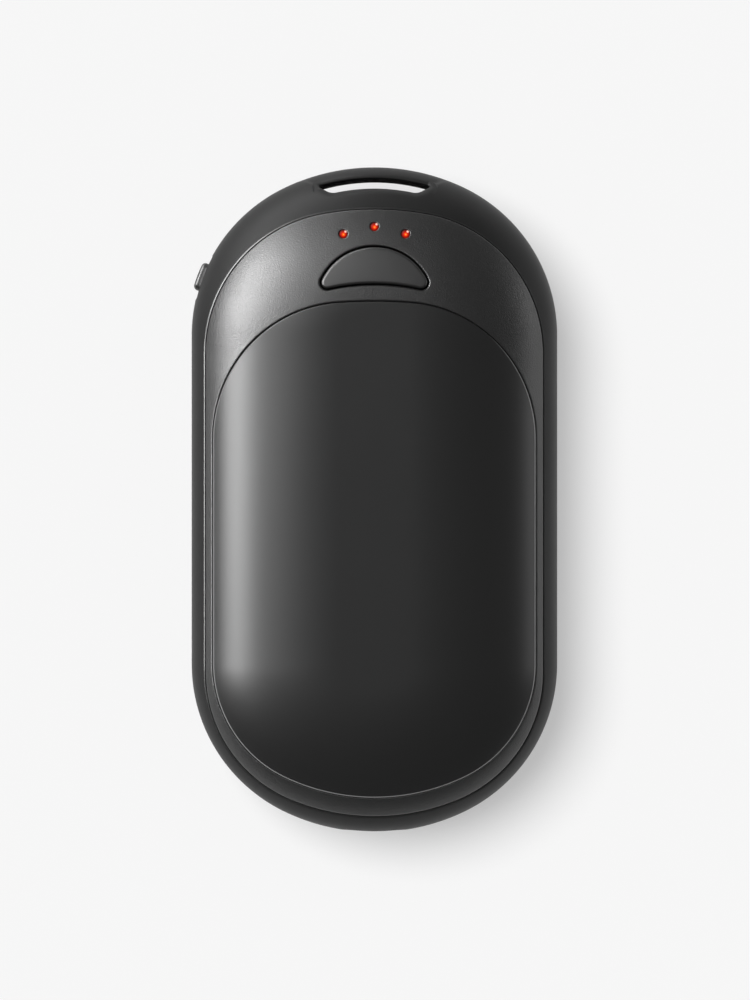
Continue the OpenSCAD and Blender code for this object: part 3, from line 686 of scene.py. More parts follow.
@dataclass(frozen=True)
class LensFinish(Finish):
    """Red acrylic over a light: an orange core fades to deep red at the rim, with a painted pale highlight to one side.
    """

    def dress(self, tree: Tree, shader: Node) -> None:
        """Links a round gradient of the lens's own map to colour and glow, and a painted highlight near its upper right
        edge.

        Args:
            tree: the material's tree.
            shader: its shader node.
        """
        place = node(tree, "UVMap", {"uv_map": "lens"}).outputs["UV"]
        moved = node(tree, "VectorMath", {"operation": "SUBTRACT"}, i0=place, i1=(0.06, -0.14, 0)).outputs[0]
        away = node(tree, "VectorMath", {"operation": "LENGTH"}, i0=moved).outputs["Value"]
        glow = node(tree, "ValToRGB", Fac=away)
        ramp = glow.color_ramp
        ramp.elements[0].position, ramp.elements[0].color = 0.0, linear("#ff9a4a")
        ramp.elements[1].position, ramp.elements[1].color = 1.0, linear("#300806")
        for position, colour in ((0.14, "#f4661e"), (0.3, "#cc300c"), (0.5, "#9a1808"), (0.8, "#6c1410")):
            ramp.elements.new(position).color = linear(colour)
        # Painted highlight: a pinkish white spot near the lens's upper right edge, put into both its colour and its
        # glow.
        highlight_distance = node(tree, "VectorMath", {"operation": "DISTANCE"}, i0=place, i1=(0.5, 0.52, 0)).outputs["Value"]
        painted_highlight = node(tree, "MapRange", Value=highlight_distance, From_Min=0.36, From_Max=0.08)
        lit = mixed(tree, painted_highlight.outputs["Result"], glow.outputs["Color"], linear("#f4b4a8"))
        tree.links.new(lit, shader.inputs["Base Color"])
        tree.links.new(lit, shader.inputs["Emission Color"])
        shader.inputs["Emission Strength"].default_value = 0.8
        shader.inputs["Roughness"].default_value = self.roughness


LENS_FINISH = LensFinish("tinted_acrylic_lit", "#e8281c", "#8a1512", 0.45, specular=0.04)

# Finishes of what lies inside, each with the CAD nodes that have it.
INNER_FINISHES = {
    # Polyimide film: amber, smooth, faintly mottled by its glue.
    Finish("polyimide_film", "#b8742a", "#a4631f", 0.35, 0.8, 0.004, 5): [
        "front_heater_film", "rear_heater_film", "heater_tails",
    ],
    # Stamped and nickel-plated steel: grey metal with a fine drawn grain.
    Finish("nickel_plated_steel", "#b9b9bb", "#a9a9ab", 0.3, 0.15, 0.002, 3, metallic=1.0, stretch=(1, 4, 1)): [
        "slide_switch_body", "usb_socket_shell", "nickel_strips", "cover_screws", "board_screws",
    ],
    # Moulded nylon: black and slightly waxy.
    Finish("moulded_nylon", "#1a1a1b", "#202021", 0.45, 0.25, 0.004, 4): [
        "slide_switch_slider", "tact_switch_body", "tact_switch_plunger", "control_chip", "charge_chip",
        "heater_transistors", "usb_socket_tongue", "temperature_sensors",
    ],
    # Moulded epoxy: milky and glossy.
    Finish("moulded_epoxy", "#e6ddd2", "#dccfc0", 0.15, 0.4, 0.001, 1): ["indicator_leds"],
    # Fired ceramic: tan and chalky.
    Finish("fired_ceramic", "#a58a63", "#967b55", 0.55, 0.1, 0.003, 1): ["control_capacitors", "charge_capacitors"],
    # Glass fibre board: its weave shows faintly through the green solder mask.
    Finish("glass_fibre_solder_mask", "#0f4a22", "#0b3d1b", 0.3, 0.4, 0.006, 2): ["control_board", "charge_board"],
    # Pressed ferrite: dark grey and gritty.
    Finish("pressed_ferrite", "#2e2e2e", "#262626", 0.6, 0.12, 0.008, 1): ["power_inductor"],
    # Flat cable in PVC: grey, ribbed along its wires.
    Finish("flat_cable_pvc", "#8a8a8c", "#7c7c7e", 0.5, 0.5, 0.02, 3, stretch=(2, 0.05, 1)): ["board_link_ribbon"],
    # Shrink sleeve of PVC: blue and glossy, drawn tight along the cell.
    Finish("shrink_sleeve_pvc", "#255c9c", "#1f5290", 0.22, 3.0, 0.01, 8, stretch=(1, 0.3, 1)): [
        "battery_cell_left", "battery_cell_right",
    ],
    # Silicone wire cover: red and soft.
    Finish("silicone_wire_cover", "#a81e1e", "#971818", 0.5, 0.2, 0.004, 2): ["battery_leads"],
    # Moulded ABS saddle: grey, with flow marks along it.
    Finish("moulded_abs_plain", "#4d4f52", "#45474a", 0.5, 0.4, 0.006, 6): ["cell_cradle"],
    # Closed-cell foam: dark grey with open cut cells.
    Finish("closed_cell_foam", "#3c3c3c", "#303030", 0.95, 0.35, 0.06, 2): ["cell_foam_pad"],
}


# ---------------------------------------------------------------- sub-assemblies


@dataclass(frozen=True)
class Place:
    """Axes of the side switch: X outwards from the centre of the left upper shoulder, Y along the travel, Z up."""

    centre: tuple[float, float] = (SKIN.outline.upper.shoulder - SKIN.outline.half,
                                   SKIN.outline.start(SKIN.outline.upper))
    turn: float = math.pi - math.radians(20.9)

    def inward(self, points: Array) -> Array:
        """Points of the body in these axes."""
        out, along = points[..., 0] - self.centre[0], points[..., 1] - self.centre[1]
        c, s = math.cos(self.turn), math.sin(self.turn)
        return np.stack([c * out + s * along, c * along - s * out, points[..., 2]], -1)

    def outward(self, depth: float | Array, face: Array) -> Array:
        """Points of the body at a depth along X, with Y and Z from a face's two coordinates."""
        c, s = math.cos(self.turn), math.sin(self.turn)
        return np.stack([self.centre[0] + c * depth - s * face[..., 0],
                         self.centre[1] + s * depth + c * face[..., 0], face[..., 1]], -1)


@dataclass(frozen=True)
class Patch:
    """Part of a lattice that makes way for a hole: its half sizes along and up, and its start outwards."""

    half_along: float
    half_up: float
    start: float

    def cut(self, shell: Shell, lattice: Lattice, local: Array, hole: Hole, flip: bool = False) -> None:
        """Cuts the hole into the patch.

        Args:
            shell: the piece's shell.
            lattice: the lattice.
            local: its points in axes outwards, along and up.
            hole: the hole, with its rings along and up.
            flip: turns the triangles over.
        """
        out, along, up = np.moveaxis(cell_middles(local), -1, 0)
        cells = (np.abs(along) < self.half_along) & (np.abs(up) < self.half_up) & (out > self.start)
        shell.punch(lattice, local[..., 1:], cells, [hole], flip)


@dataclass
class Frame:
    """Frame round the edge, with the strap bar, its slot, the side switch's window and the charging mouth."""

    strap_bar: float = 1.98
    slot_w: float = 1.68
    slot_outer_half: float = 8.3
    slot_inner_half: float = 6.75
    slot_step: float = 0.22
    slot_corners: tuple[float, ...] = (2.0, 2.0, 0.15, 0.15)
    # The patch round the slot: from inside the edge to inside the lip, and past the slot's ends.
    slot_patch: tuple[float, float, float] = (0.33, 5.9, 2.2)
    slot_rims: tuple[float, ...] = (0, 0.03, 0.08, 0.16, 0.28, 0.45, 0.7, 0.95, 1.25)
    bar_round: float = 0.8
    lip_round: float = 0.9
    bar_squeeze: float = 0.85
    bar_lower: float = 0.16
    bar_step: float = 0.8
    ledge_w: float = 1.5
    ledge_play: float = 0.25
    seam_round: float = 0.12
    seam_rows: tuple[float, ...] = (0, 0.012, 0.035, 0.07, 0.11, 0.16, 0.22, 0.28, 0.34, 0.4, 0.47, 0.56)
    land_w: float = 0.28
    land_slope: float = 0.5
    knob_window: tuple[float, float] = (6.6, 3.3)
    knob_pocket: tuple[float, float] = (12.0, 4.7)
    knob_corner: float = 0.35
    knob_step: float = 0.25
    knob_rims: tuple[float, ...] = (0, 0.04, 0.1, 0.2, 0.35, 0.6)
    knob_round: float = 0.25
    knob_wall: float = 1.6
    knob_patches: tuple[Patch, Patch] = (Patch(4.4, 2.9, 15), Patch(8.2, 4.2, 12))
    mouth: tuple[float, float] = (9.34, 3.6)
    mouth_step: float = 0.3
    mouth_rims: tuple[float, ...] = (0, 0.04, 0.1, 0.2, 0.32, 0.45, 0.8)
    mouth_round: float = 0.4
    mouth_patches: tuple[Patch, Patch] = (Patch(6.4, 3.3, 30), Patch(5.9, 2.6, 30))
    back_rims: tuple[float, float] = (0, 0.4)
    rows: int = 22
    wall_rows: int = 15
    slot_rows: int = 9

    @property
    def bar_inside(self) -> float:
        """Radius of the strap bar's inner side about the upper tip's centre."""
        return SKIN.outline.upper.radius - self.strap_bar

    @property
    def slot_middle(self) -> float:
        """Radius of the slot's middle line."""
        return self.bar_inside - self.slot_w / 2

    def polar(self, plan: Array) -> tuple[Array, Array]:
        """Plan points as a length along the slot's middle line and a radius about the upper tip's centre."""
        tip = SKIN.outline.upper
        x, y = plan[..., 0], plan[..., 1] - tip.reach + tip.radius
        return np.arctan2(x, y) * self.slot_middle, np.hypot(x, y)

    def slot_plan(self, places: Array) -> Array:
        """Plan points of places that are given as such a length and radius."""
        tip = SKIN.outline.upper
        angle, radius = places[..., 0] / self.slot_middle, places[..., 1]
        return np.stack([radius * np.sin(angle), tip.reach - tip.radius + radius * np.cos(angle)], -1)

    def lifted(self, plan: Array, drop: float | Array = 0.0) -> Array:
        """Plan points on the frame's skin: the pebble's, a little lower on the strap bar between slanted steps.

        Args:
            plan: the plan points.
            drop: distance under that skin.

        Returns:
            The points with their heights.
        """
        along, radius = self.polar(plan)
        on_bar = np.clip((self.slot_outer_half + radius - self.bar_inside - np.abs(along)) / self.bar_step + 0.5, 0, 1)
        past_slot = np.clip((radius - self.bar_inside + self.slot_w) / self.slot_w, 0, 1)
        share = on_bar ** 2 * (3 - 2 * on_bar) * past_slot * (plan[..., 1] > 0)
        return lift(plan, SKIN.height(plan) * (1 - self.bar_lower * share) - drop)

    def lit_edge(self, rows: Array, away: Array) -> Array:
        """Rows at the seam: the lower of the skin and a narrow land of one tilt, less a small rounding.

        Args:
            rows: plan points, from the seam outwards.
            away: distance of each row from the seam.

        Returns:
            The points with their heights.
        """
        foot = self.lifted(SEAM.sample(SEAM_FRAME - self.land_w))[:, 2]
        land = foot + self.land_slope * np.clip(self.land_w - away, 0, None)[:, None]
        return lift(rows, np.minimum(self.lifted(rows)[..., 2], land) - rounding(away, self.seam_round)[:, None])

    def build(self) -> Object:
        """Builds the frame from rows that run round its section, with its openings cut in."""
        shell = Shell()
        away = np.array(self.seam_rows)
        near = SEAM.samples(SEAM_FRAME - away)
        share = np.linspace(1, 0, self.rows + 1)[1:] ** 2
        front = np.concatenate([self.lit_edge(near, away),
                                self.lifted(between(SKIN.outline.sample(), near[-1], share))])
        skin = shell.lattice(np.concatenate([front, (front * [1, 1, -1])[-2::-1]]))
        ledge = underside(SEAM.samples((SEAM_FRAME, self.ledge_w / 2, self.ledge_w)), self.ledge_play)
        points = copies(ledge[-1], np.linspace(-1, 1, self.wall_rows))
        below, wall_ids, above = shell.add(ledge * [1, 1, -1]), shell.add(points[1:-1]), shell.add(ledge[::-1])
        wall = Lattice(points, np.concatenate([below[-1:], wall_ids, above[:1]]))
        shell.weave(np.concatenate([skin.ids[-1:], below]))
        shell.weave(np.concatenate([above, skin.ids[:1]]))
        self.cut_slot(shell, skin)
        self.cut_side(shell, skin, wall)
        self.cut_mouth(shell, skin, wall)
        land, last = int(np.searchsorted(away, self.land_w)), len(skin.ids) - 1
        for low, high, finish in ((0, land, LAND_FINISH), (land, last - land, None), (last - land, last, LAND_FINISH)):
            shell.weave(skin.ids[low:high + 1], skin.skipped[low:high], finish=finish)
        shell.weave(wall.ids, wall.skipped)
        made = shell.piece("frame_ring", FRAME_FINISH)
        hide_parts("mid_frame")
        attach(made, "housing")
        return made

    def cut_slot(self, shell: Shell, skin: Lattice) -> None:
        """Cuts the slot through both faces, sharp at the bar and round at the lip, and joins its edges by a wall in
        painted shade.

        Args:
            shell: the frame's shell.
            skin: its outer skin.
        """
        inner = self.bar_inside - self.slot_w
        loop = rounded_polygon([(-self.slot_inner_half, inner), (self.slot_inner_half, inner),
                                (self.slot_outer_half, self.bar_inside), (-self.slot_outer_half, self.bar_inside)],
                               self.slot_corners).spaced(self.slot_step)
        middle = cell_middles(skin.points)
        along, radius = self.polar(middle)
        outside, inside, past = self.slot_patch
        deep = SKIN.outline.upper.radius - radius
        near = (middle[..., 1] > 0) & (deep > outside) & (deep < inside) & (np.abs(along) < self.slot_outer_half + past)
        squeeze = np.where(loop.normals[:, 1] > 0.3, self.bar_squeeze, 1.0)
        rims = []
        for distance in self.slot_rims:
            places = loop.points + (distance * squeeze)[:, None] * loop.normals
            radius = np.where(places[:, 1] > self.slot_middle, self.bar_round, self.lip_round)
            rims.append(self.lifted(self.slot_plan(places), rounding(distance * squeeze, radius)))
        edges = []
        for side in (1, -1):
            hole = shell.hole((rim[:, :2], rim * [1, 1, side]) for rim in rims)
            shell.punch(skin, skin.points[..., :2], near & (middle[..., 2] * side > 0), [hole], flip=side < 0)
            edges.append(hole.ids[0])
        wall = shell.add(copies(rims[0], np.linspace(-1, 1, self.slot_rows)[1:-1]))
        # The slot's wall carries painted shade: a darker colour than the frame's.
        shell.weave(np.concatenate([edges[1][None], wall, edges[0][None]]), finish=SLOT_SHADE_FINISH)

    def cut_side(self, shell: Shell, skin: Lattice, wall: Lattice) -> None:
        """Cuts the side switch's window, with the wider pocket behind its wall.

        Args:
            shell: the frame's shell.
            skin: its outer skin.
            wall: its inner wall.
        """
        place, radius, seam = Place(), SKIN.outline.upper.shoulder, SEAM.upper
        window = rounded_rectangle(self.knob_window, self.knob_corner).spaced(self.knob_step)
        pocket = rounded_rectangle(self.knob_pocket, self.knob_corner).spread(len(window.points))
        rings = []
        for ring, drop in window.rims(self.knob_rims, self.knob_round):
            reach = radius - SKIN.depth_at(ring[:, 1]) - drop
            rings.append((ring, place.outward(np.sqrt(reach ** 2 - ring[:, 0] ** 2), ring)))
        front = shell.hole(rings)
        x, y, _ = place.inward(np.array([seam.shoulder - SEAM.half, SEAM.start(seam), 0]))
        reach = seam.shoulder - self.ledge_w
        back = shell.hole((ring, place.outward(x + np.sqrt(reach ** 2 - (ring[:, 0] - y) ** 2), ring))
                          for ring, _ in pocket.rims(self.back_rims))
        for patch, lattice, hole in zip(self.knob_patches, (skin, wall), (front, back)):
            patch.cut(shell, lattice, place.inward(lattice.points), hole, flip=hole is back)
        step = [shell.add(place.outward(radius - self.knob_wall, loop.points)) for loop in (window, pocket)]
        shell.weave(np.stack([front.ids[0], *step, back.ids[0]]), flip=True)

    def cut_mouth(self, shell: Shell, skin: Lattice, wall: Lattice) -> None:
        """Cuts the charging port's mouth straight through the lower end.

        Args:
            shell: the frame's shell.
            skin: its outer skin.
            wall: its inner wall.
        """
        loop = rounded_rectangle(self.mouth, self.mouth[1] / 2 - 0.001).spaced(self.mouth_step)
        rings = []
        for tip, deep, rims, round_over in ((SKIN.outline.lower, 0, self.mouth_rims, self.mouth_round),
                                            (SEAM.lower, self.ledge_w, self.back_rims, 0)):
            rings.append([])
            for ring, drop in loop.rims(rims, round_over):
                reach = tip.radius - (deep or SKIN.depth_at(ring[:, 1]))
                y = tip.radius - tip.reach - np.sqrt(reach ** 2 - ring[:, 0] ** 2) + drop
                rings[-1].append((ring, np.stack([ring[:, 0], y, ring[:, 1]], -1)))
        front, back = (shell.hole(each) for each in rings)
        for patch, lattice, hole in zip(self.mouth_patches, (skin, wall), (front, back)):
            patch.cut(shell, lattice, lattice.points[..., [1, 0, 2]] * [-1, 1, 1], hole, flip=hole is back)
        shell.weave(np.stack([front.ids[0], back.ids[0]]), flip=True)


@dataclass(frozen=True)
class Opening:
    """Hole of the front cover: its loop, its rings' distances, its edge's radius and its rings underneath."""

    loop: Loop
    rims: tuple[float, ...]
    round_over: float
    back_rims: tuple[float, float]


@dataclass(frozen=True)
class Openings:
    """Holes of the front cover: the half moon button's and the three lenses'."""

    moon_r: float = 8.85
    moon_top: float = 37.53
    moon_low_r: float = 31.2
    moon_low: float = 31.67
    moon_corner_r: float = 1.15
    moon_step: float = 0.16
    moon_steps: tuple[int, int] = (24, 48)
    moon_rims: tuple[float, ...] = (0, 0.012, 0.03, 0.055, 0.09, 0.13, 0.18, 0.23, 0.28, 0.42)
    moon_round: float = 0.28
    lens_bore: float = 0.67
    back_rims: tuple[float, float] = (0, 0.3)
    lens_rims: tuple[float, ...] = (0, 0.015, 0.04, 0.07, 0.11, 0.15, 0.25)
    lens_round: float = 0.15
    lenses: tuple[tuple[float, float], ...] = ((-4.6, 39.3), (0.0, 40.4), (4.6, 39.3))

    def moon(self) -> Loop:
        """Loop of the half moon: an upper arc, a long lower arc and two round corners."""
        high, low, corner = self.moon_top - self.moon_r, self.moon_low - self.moon_low_r, self.moon_corner_r
        r1, r2 = self.moon_r - corner, self.moon_low_r + corner
        y = (r2 ** 2 - r1 ** 2 - low ** 2 + high ** 2) / (2 * (high - low))
        x = math.sqrt(r1 ** 2 - (y - high) ** 2)
        up, down = math.atan2(y - high, x), math.atan2(y - low, x)
        short, long = self.moon_steps
        lower = arc((0, low), self.moon_low_r, math.pi - down, down, long)
        return joined([arc((x, y), corner, down - math.pi, up, short),
                       arc((0, high), self.moon_r, up, math.pi - up, short),
                       arc((-x, y), corner, math.pi - up, 2 * math.pi - down, short),
                       Loop(lower.points, -lower.normals)]).spaced(self.moon_step)

    def every(self) -> list[Opening]:
        """All the openings, the button's first."""
        holes = [(self.moon(), self.moon_rims, self.moon_round)]
        holes += [(circle(place, self.lens_bore), self.lens_rims, self.lens_round) for place in self.lenses]
        return [Opening(*hole, self.back_rims) for hole in holes]


@dataclass
class Cover:
    """Cover of one face: the grained bezel, the recess for its plate and the wall behind."""

    side: Side
    plate_gap: float = 0.08
    plate_rim: float = 0.9
    rim_t: float = 0.88
    recess_t: float = 1.29
    edge_round: float = 0.15
    hole_round: float = 0.28
    plate_rows: tuple[float, ...] = (0, 0.01, 0.03, 0.06, 0.1, 0.15, 0.2, 0.26, 0.33, 0.41)
    seam_rows: tuple[float, ...] = (0.22, 0.17, 0.12, 0.08, 0.045, 0.02, 0.006, 0)
    inside_rows: tuple[float, ...] = (0.08, 0.2, 0.35, 0.5, 0.75, 1)
    floor_rows: int = 14
    rows: int = 30
    # The patch of the openings: its start along the body, its half width and its reach round each hole.
    patch: tuple[float, float, float] = (28.0, 12.0, 0.75)

    def build(self) -> Object:
        """Builds the cover from rows that run from its middle outwards, over the bezel and back inside."""
        shell = Shell()
        curve, flat = PLATE[self.side], SKIN.outline.sample(SKIN.flat_in)
        rim, hole = curve.sample(self.plate_rim), curve.sample(-self.plate_gap)
        at_plate, at_seam = np.array(self.plate_rows), np.array(self.seam_rows)
        near_plate = curve.samples(-self.plate_gap - at_plate)
        near_seam = SEAM.samples(SEAM_GAP + at_seam)
        share = np.linspace(0, 1, self.rows + 1)[1:-1]
        plan = np.concatenate([near_plate, between(near_plate[-1], near_seam[0], share), near_seam])
        drop = np.concatenate([rounding(at_plate, self.hole_round), np.zeros(len(share)),
                               rounding(at_seam, self.edge_round)])
        recess = shell.add(np.concatenate([
            SKIN.lifted(between(flat, rim, np.linspace(0, 1, self.floor_rows)), self.recess_t),
            SKIN.lifted(np.stack([rim, hole]), self.rim_t)]))
        bezel = shell.lattice(SKIN.lifted(plan, drop=drop[:, None]))
        back = shell.lattice(underside(plan[::-1]))
        inside = shell.add(underside(between(hole, flat, self.inside_rows)))
        front = self.side is Side.FRONT
        if front:
            self.cut_openings(shell, bezel, back)
        shell.cap(recess[0])
        shell.weave(np.concatenate([recess, bezel.ids[:1]]))
        shell.weave(bezel.ids, bezel.skipped)
        shell.weave(np.concatenate([bezel.ids[-1:], back.ids[:1]]))
        shell.weave(back.ids, back.skipped)
        shell.weave(np.concatenate([back.ids[-1:], inside]))
        shell.cap(inside[-1], flip=True)
        made = shell.piece("bezel_" + self.side.name.lower(), COVER_FINISH, turned=not front)
        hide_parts("front_cover" if front else "rear_cover")
        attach(made, "housing")
        return made

    def cut_openings(self, shell: Shell, bezel: Lattice, back: Lattice) -> None:
        """Cuts the button's and the lenses' holes through the bezel and its underside.

        Args:
            shell: the cover's shell.
            bezel: its outer skin.
            back: its underside.
        """
        top, low = [], []
        for opening in Openings().every():
            top.append(shell.hole((ring, SKIN.lifted(ring, drop=drop))
                                  for ring, drop in opening.loop.rims(opening.rims, opening.round_over)))
            low.append(shell.hole((ring, underside(ring)) for ring, _ in opening.loop.rims(opening.back_rims)))
            shell.weave(np.stack([low[-1].ids[0], top[-1].ids[0]]))
        start, half, reach = self.patch
        for lattice, holes in ((bezel, top), (back, low)):
            middle = cell_middles(lattice.points)[..., :2]
            near = (middle[..., 1] > start) & (np.abs(middle[..., 0]) < half)
            cells = np.zeros(near.shape, bool)
            for hole in holes:
                cells[near] |= near_ring(middle[near], hole.rings[-1], reach)
            shell.punch(lattice, lattice.points[..., :2], cells, holes, flip=lattice is back)


@dataclass
class HeatPlate:
    """Satin plate that lies flush in a cover."""

    side: Side
    thickness: float = 0.8
    edge_round: float = 0.18
    edge_rows: tuple[float, ...] = (0.3, 0.22, 0.17, 0.12, 0.08, 0.045, 0.02, 0.006, 0)
    rows: int = 44
    back_rows: int = 12

    def build(self) -> Object:
        """Builds the plate from rows that run from its middle over its edge and back underneath."""
        shell = Shell()
        curve, flat, rim = PLATE[self.side], SKIN.outline.sample(SKIN.flat_in), np.array(self.edge_rows)
        near = curve.samples(rim - PLATE_GROW)
        share = np.linspace(0, 1, self.rows)[:-1]
        plan = np.concatenate([between(flat, near[0], share), near])
        drop = np.concatenate([np.zeros(len(share)), rounding(rim, self.edge_round)])
        below = between(curve.sample(-PLATE_GROW), flat, np.linspace(0, 1, self.back_rows))
        ids = shell.add(np.concatenate([SKIN.lifted(plan, drop=drop[:, None]), SKIN.lifted(below, self.thickness)]))
        start, stop = len(share) + int(np.searchsorted(-rim, -self.edge_round)), len(plan) - 1
        shell.weave(ids[:start + 1])
        # The rim's faces carry a painted highlight.
        shell.weave(ids[start:stop + 1], finish=RIM_HIGHLIGHT_FINISH)
        shell.weave(ids[stop:])
        shell.cap(ids[0])
        shell.cap(ids[-1], flip=True)
        front = self.side is Side.FRONT
        made = shell.piece("warm_plate_" + self.side.name.lower(), PLATE_FINISH, turned=not front)
        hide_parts("front_heat_plate" if front else "rear_heat_plate")
        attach(made, "housing")
        return made


@dataclass
class PowerButton:
    """Half moon button, with its flange under the cover and the stem on the switch."""

    gap: float = 0.22
    proud: float = 0.2
    edge_round: float = 0.4
    edge_rows: tuple[float, ...] = (0.3, 0.21, 0.14, 0.08, 0.035, 0.01, 0)
    edge_share: float = 0.95
    rows: int = 18
    flange_top: float = 2.3
    flange_t: float = 0.7
    flange_w: float = 0.7
    stem_r: float = 1.3
    stem_foot: float = 2.8
    core: tuple[float, float] = (0.0, 34.4)
    core_share: float = 0.06
    foot_share: float = 0.4

    def build(self) -> Object:
        """Builds the button from rings that run from its middle over its edge, down and back, and its stem."""
        shell = Shell()
        loop, core = Openings().moon(), np.array(self.core)
        brim = loop.offset(-self.gap - self.edge_round)
        insets = np.array(self.edge_rows) / self.edge_rows[0] * self.edge_round * self.edge_share
        plan = np.stack([core + q * (brim - core) for q in np.linspace(self.core_share, 1, self.rows)]
                        + [loop.offset(-self.gap - inset) for inset in insets])
        distance = np.concatenate([np.full(self.rows, self.edge_round), insets])[:, None]
        skirt, foot = loop.offset(self.flange_w), self.flange_top + self.flange_t
        low = [(loop.offset(-self.gap), self.flange_top), (skirt, self.flange_top), (skirt, foot),
               (core + self.foot_share * (skirt - core), foot)]
        top = SKIN.lifted(plan, drop=rounding(distance, self.edge_round) - self.proud)
        shell.solid(np.concatenate([top, np.stack([SKIN.lifted(ring, depth) for ring, depth in low])]))
        stem = circle(self.core, self.stem_r).points
        seat = float(SKIN.height(core, self.flange_top + self.flange_t / 2))
        shell.solid(np.stack([level(stem, seat), level(stem, self.stem_foot)]))
        made = shell.piece("half_moon_button", BUTTON_FINISH)
        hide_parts("power_button")
        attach(made, "button")
        return made


@dataclass
class Lenses:
    """Three round light pipes with domed tips, each with a collar under the cover."""

    radius: float = 0.65
    proud: float = 0.12
    dome_r: float = 0.85
    dome_rows: int = 9
    foot: float = -0.6
    collar_r: float = 1.2
    collar_t: float = 0.6
    collar_down: float = 3.2
    places: tuple[tuple[float, float], ...] = Openings().lenses

    def build(self) -> Object:
        """Builds each lens as a turned profile: foot, stem, collar, stem and dome."""
        shell = Shell()
        for place in self.places:
            top = float(SKIN.height(np.array(place))) + self.proud
            collar = top - self.collar_down
            reach = np.linspace(0, 1, self.dome_rows)[::-1] * self.radius * 0.999
            dome = top - self.dome_r + np.sqrt(self.dome_r ** 2 - reach ** 2)
            profile = [(self.radius, self.foot), (self.radius, collar - self.collar_t),
                       (self.collar_r, collar - self.collar_t), (self.collar_r, collar), (self.radius, collar),
                       *zip(reach[:-1], dome[:-1])]
            shell.solid(np.stack([level(circle(place, radius).points, z) for radius, z in profile]), flip=True)
        made = shell.piece("indicator_domes", LENS_FINISH)
        away = np.concatenate(shell.points)[:, None, :2] - np.array(self.places)
        nearest = np.linalg.norm(away, axis=2).argmin(1)
        spread = away[np.arange(len(away)), nearest] / self.radius
        index = np.zeros(len(made.data.loops), np.int32)
        made.data.loops.foreach_get("vertex_index", index)
        made.data.uv_layers.new(name="lens").uv.foreach_set("vector", spread[index].ravel())
        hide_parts("indicator_lenses")
        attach(made, "housing")
        return made


@dataclass
class SideKnob:
    """Knob of the side switch, with its flange and the fork that holds the lever."""

    size: tuple[float, float] = (4.3, 3.0)
    proud: float = 0.75
    round_over: float = 0.55
    round_rows: int = 9
    corner: float = 0.9
    crown: float = 0.02
    crown_rows: tuple[float, ...] = (0.75, 0.5, 0.25)
    step: float = 0.16
    flange: tuple[float, float] = (9.5, 4.2)
    flange_corner: float = 0.3
    flange_t: float = 0.9
    wall: float = 1.6
    play: float = 0.1
    fork_l: float = 1.6
    fork_t: float = 0.8
    fork_play: float = 0.1
    fork_corner: float = 0.1
    fork_sunk: float = 0.05
    lever: tuple[float, float] = (1.5, 1.2)

    def build(self) -> Object:
        """Builds the knob as rings of a rounded rectangle that shrink over its outer edge, and its fork."""
        shell, place = Shell(), Place()
        out = SKIN.outline.upper.shoulder + self.proud
        face = SKIN.outline.upper.shoulder - self.wall - self.play
        back = face - self.flange_t
        loop = rounded_rectangle(self.size, self.corner).spaced(self.step)
        flange = rounded_rectangle(self.flange, self.flange_corner).spread(len(loop.points))
        rows = [(back, flange.points), (face, flange.points), (face, loop.points)]
        for inset in self.round_over * (1 - np.cos(np.linspace(0, math.pi / 2, self.round_rows))):
            ring = loop.offset(-inset)
            rows.append((out - rounding(inset, self.round_over) - self.crown * ring[:, 0] ** 2, ring))
        top = loop.offset(-self.round_over)
        rows += [(out - self.crown * (q * top[:, 0]) ** 2, q * top) for q in self.crown_rows]
        shell.solid(np.stack([place.outward(x, ring) for x, ring in rows]), flip=True)
        shift = (self.lever[0] + self.fork_t + self.fork_play) / 2
        prong = rounded_rectangle((self.fork_t, self.lever[1]), self.fork_corner).points
        for side in (-shift, shift):
            ends = [place.outward(x, prong + [side, 0]) for x in (back - self.fork_l, back + self.fork_sunk)]
            shell.solid(np.stack(ends), flip=True)
        made = shell.piece("side_slider_knob", BUTTON_FINISH)
        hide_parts("side_switch_knob")
        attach(made, "side_switch")
        return made


def dress_inside() -> None:
    """Gives each CAD node that stays, such as cells and boards, its finish."""
    for finish, names in INNER_FINISHES.items():
        for name in names:
            for place in frame["nodes"][name].material_slots:
                place.material = finish.material()


# ---------------------------------------------------------------- studio


def towards(azimuth: float, elevation: float) -> Array:
    """Unit vector to a direction in degrees, where azimuth turns from X to Y."""
    turn, rise = math.radians(azimuth), math.radians(elevation)
    return np.array([math.cos(rise) * math.cos(turn), math.cos(rise) * math.sin(turn), math.sin(rise)])


def hang(name: str, kind: str, azimuth: float, elevation: float, distance: float = 0.0) -> Object:
    """Hangs a lamp, turned to the object.

    Args:
        name: the lamp's name.
        kind: its type.
        azimuth: its direction in degrees.
        elevation: its height in degrees.
        distance: its distance in metres.

    Returns:
        The lamp's object.
    """
    made = placed(name, bpy.data.lights.new(name, kind))
    away = towards(azimuth, elevation)
    made.location = away * distance
    made.rotation_mode = "QUATERNION"
    made.rotation_quaternion = Vector(away).to_track_quat("Z", "Y")
    return made


@dataclass(frozen=True)
class SoftBox:
    """Rectangular lamp that gives highlights alone: its direction in degrees, size, radiance and distance."""

    name: str
    azimuth: float
    elevation: float
    size: tuple[float, float]
    radiance: float
    distance: float = 1.2

    def hang(self) -> None:
        """Hangs the lamp."""
        made = hang(self.name, "AREA", self.azimuth, self.elevation, self.distance)
        made.data.shape = "RECTANGLE"
        made.data.size, made.data.size_y = self.size
        made.data.energy = self.radiance * math.pi * self.size[0] * self.size[1]
        made.visible_diffuse = False


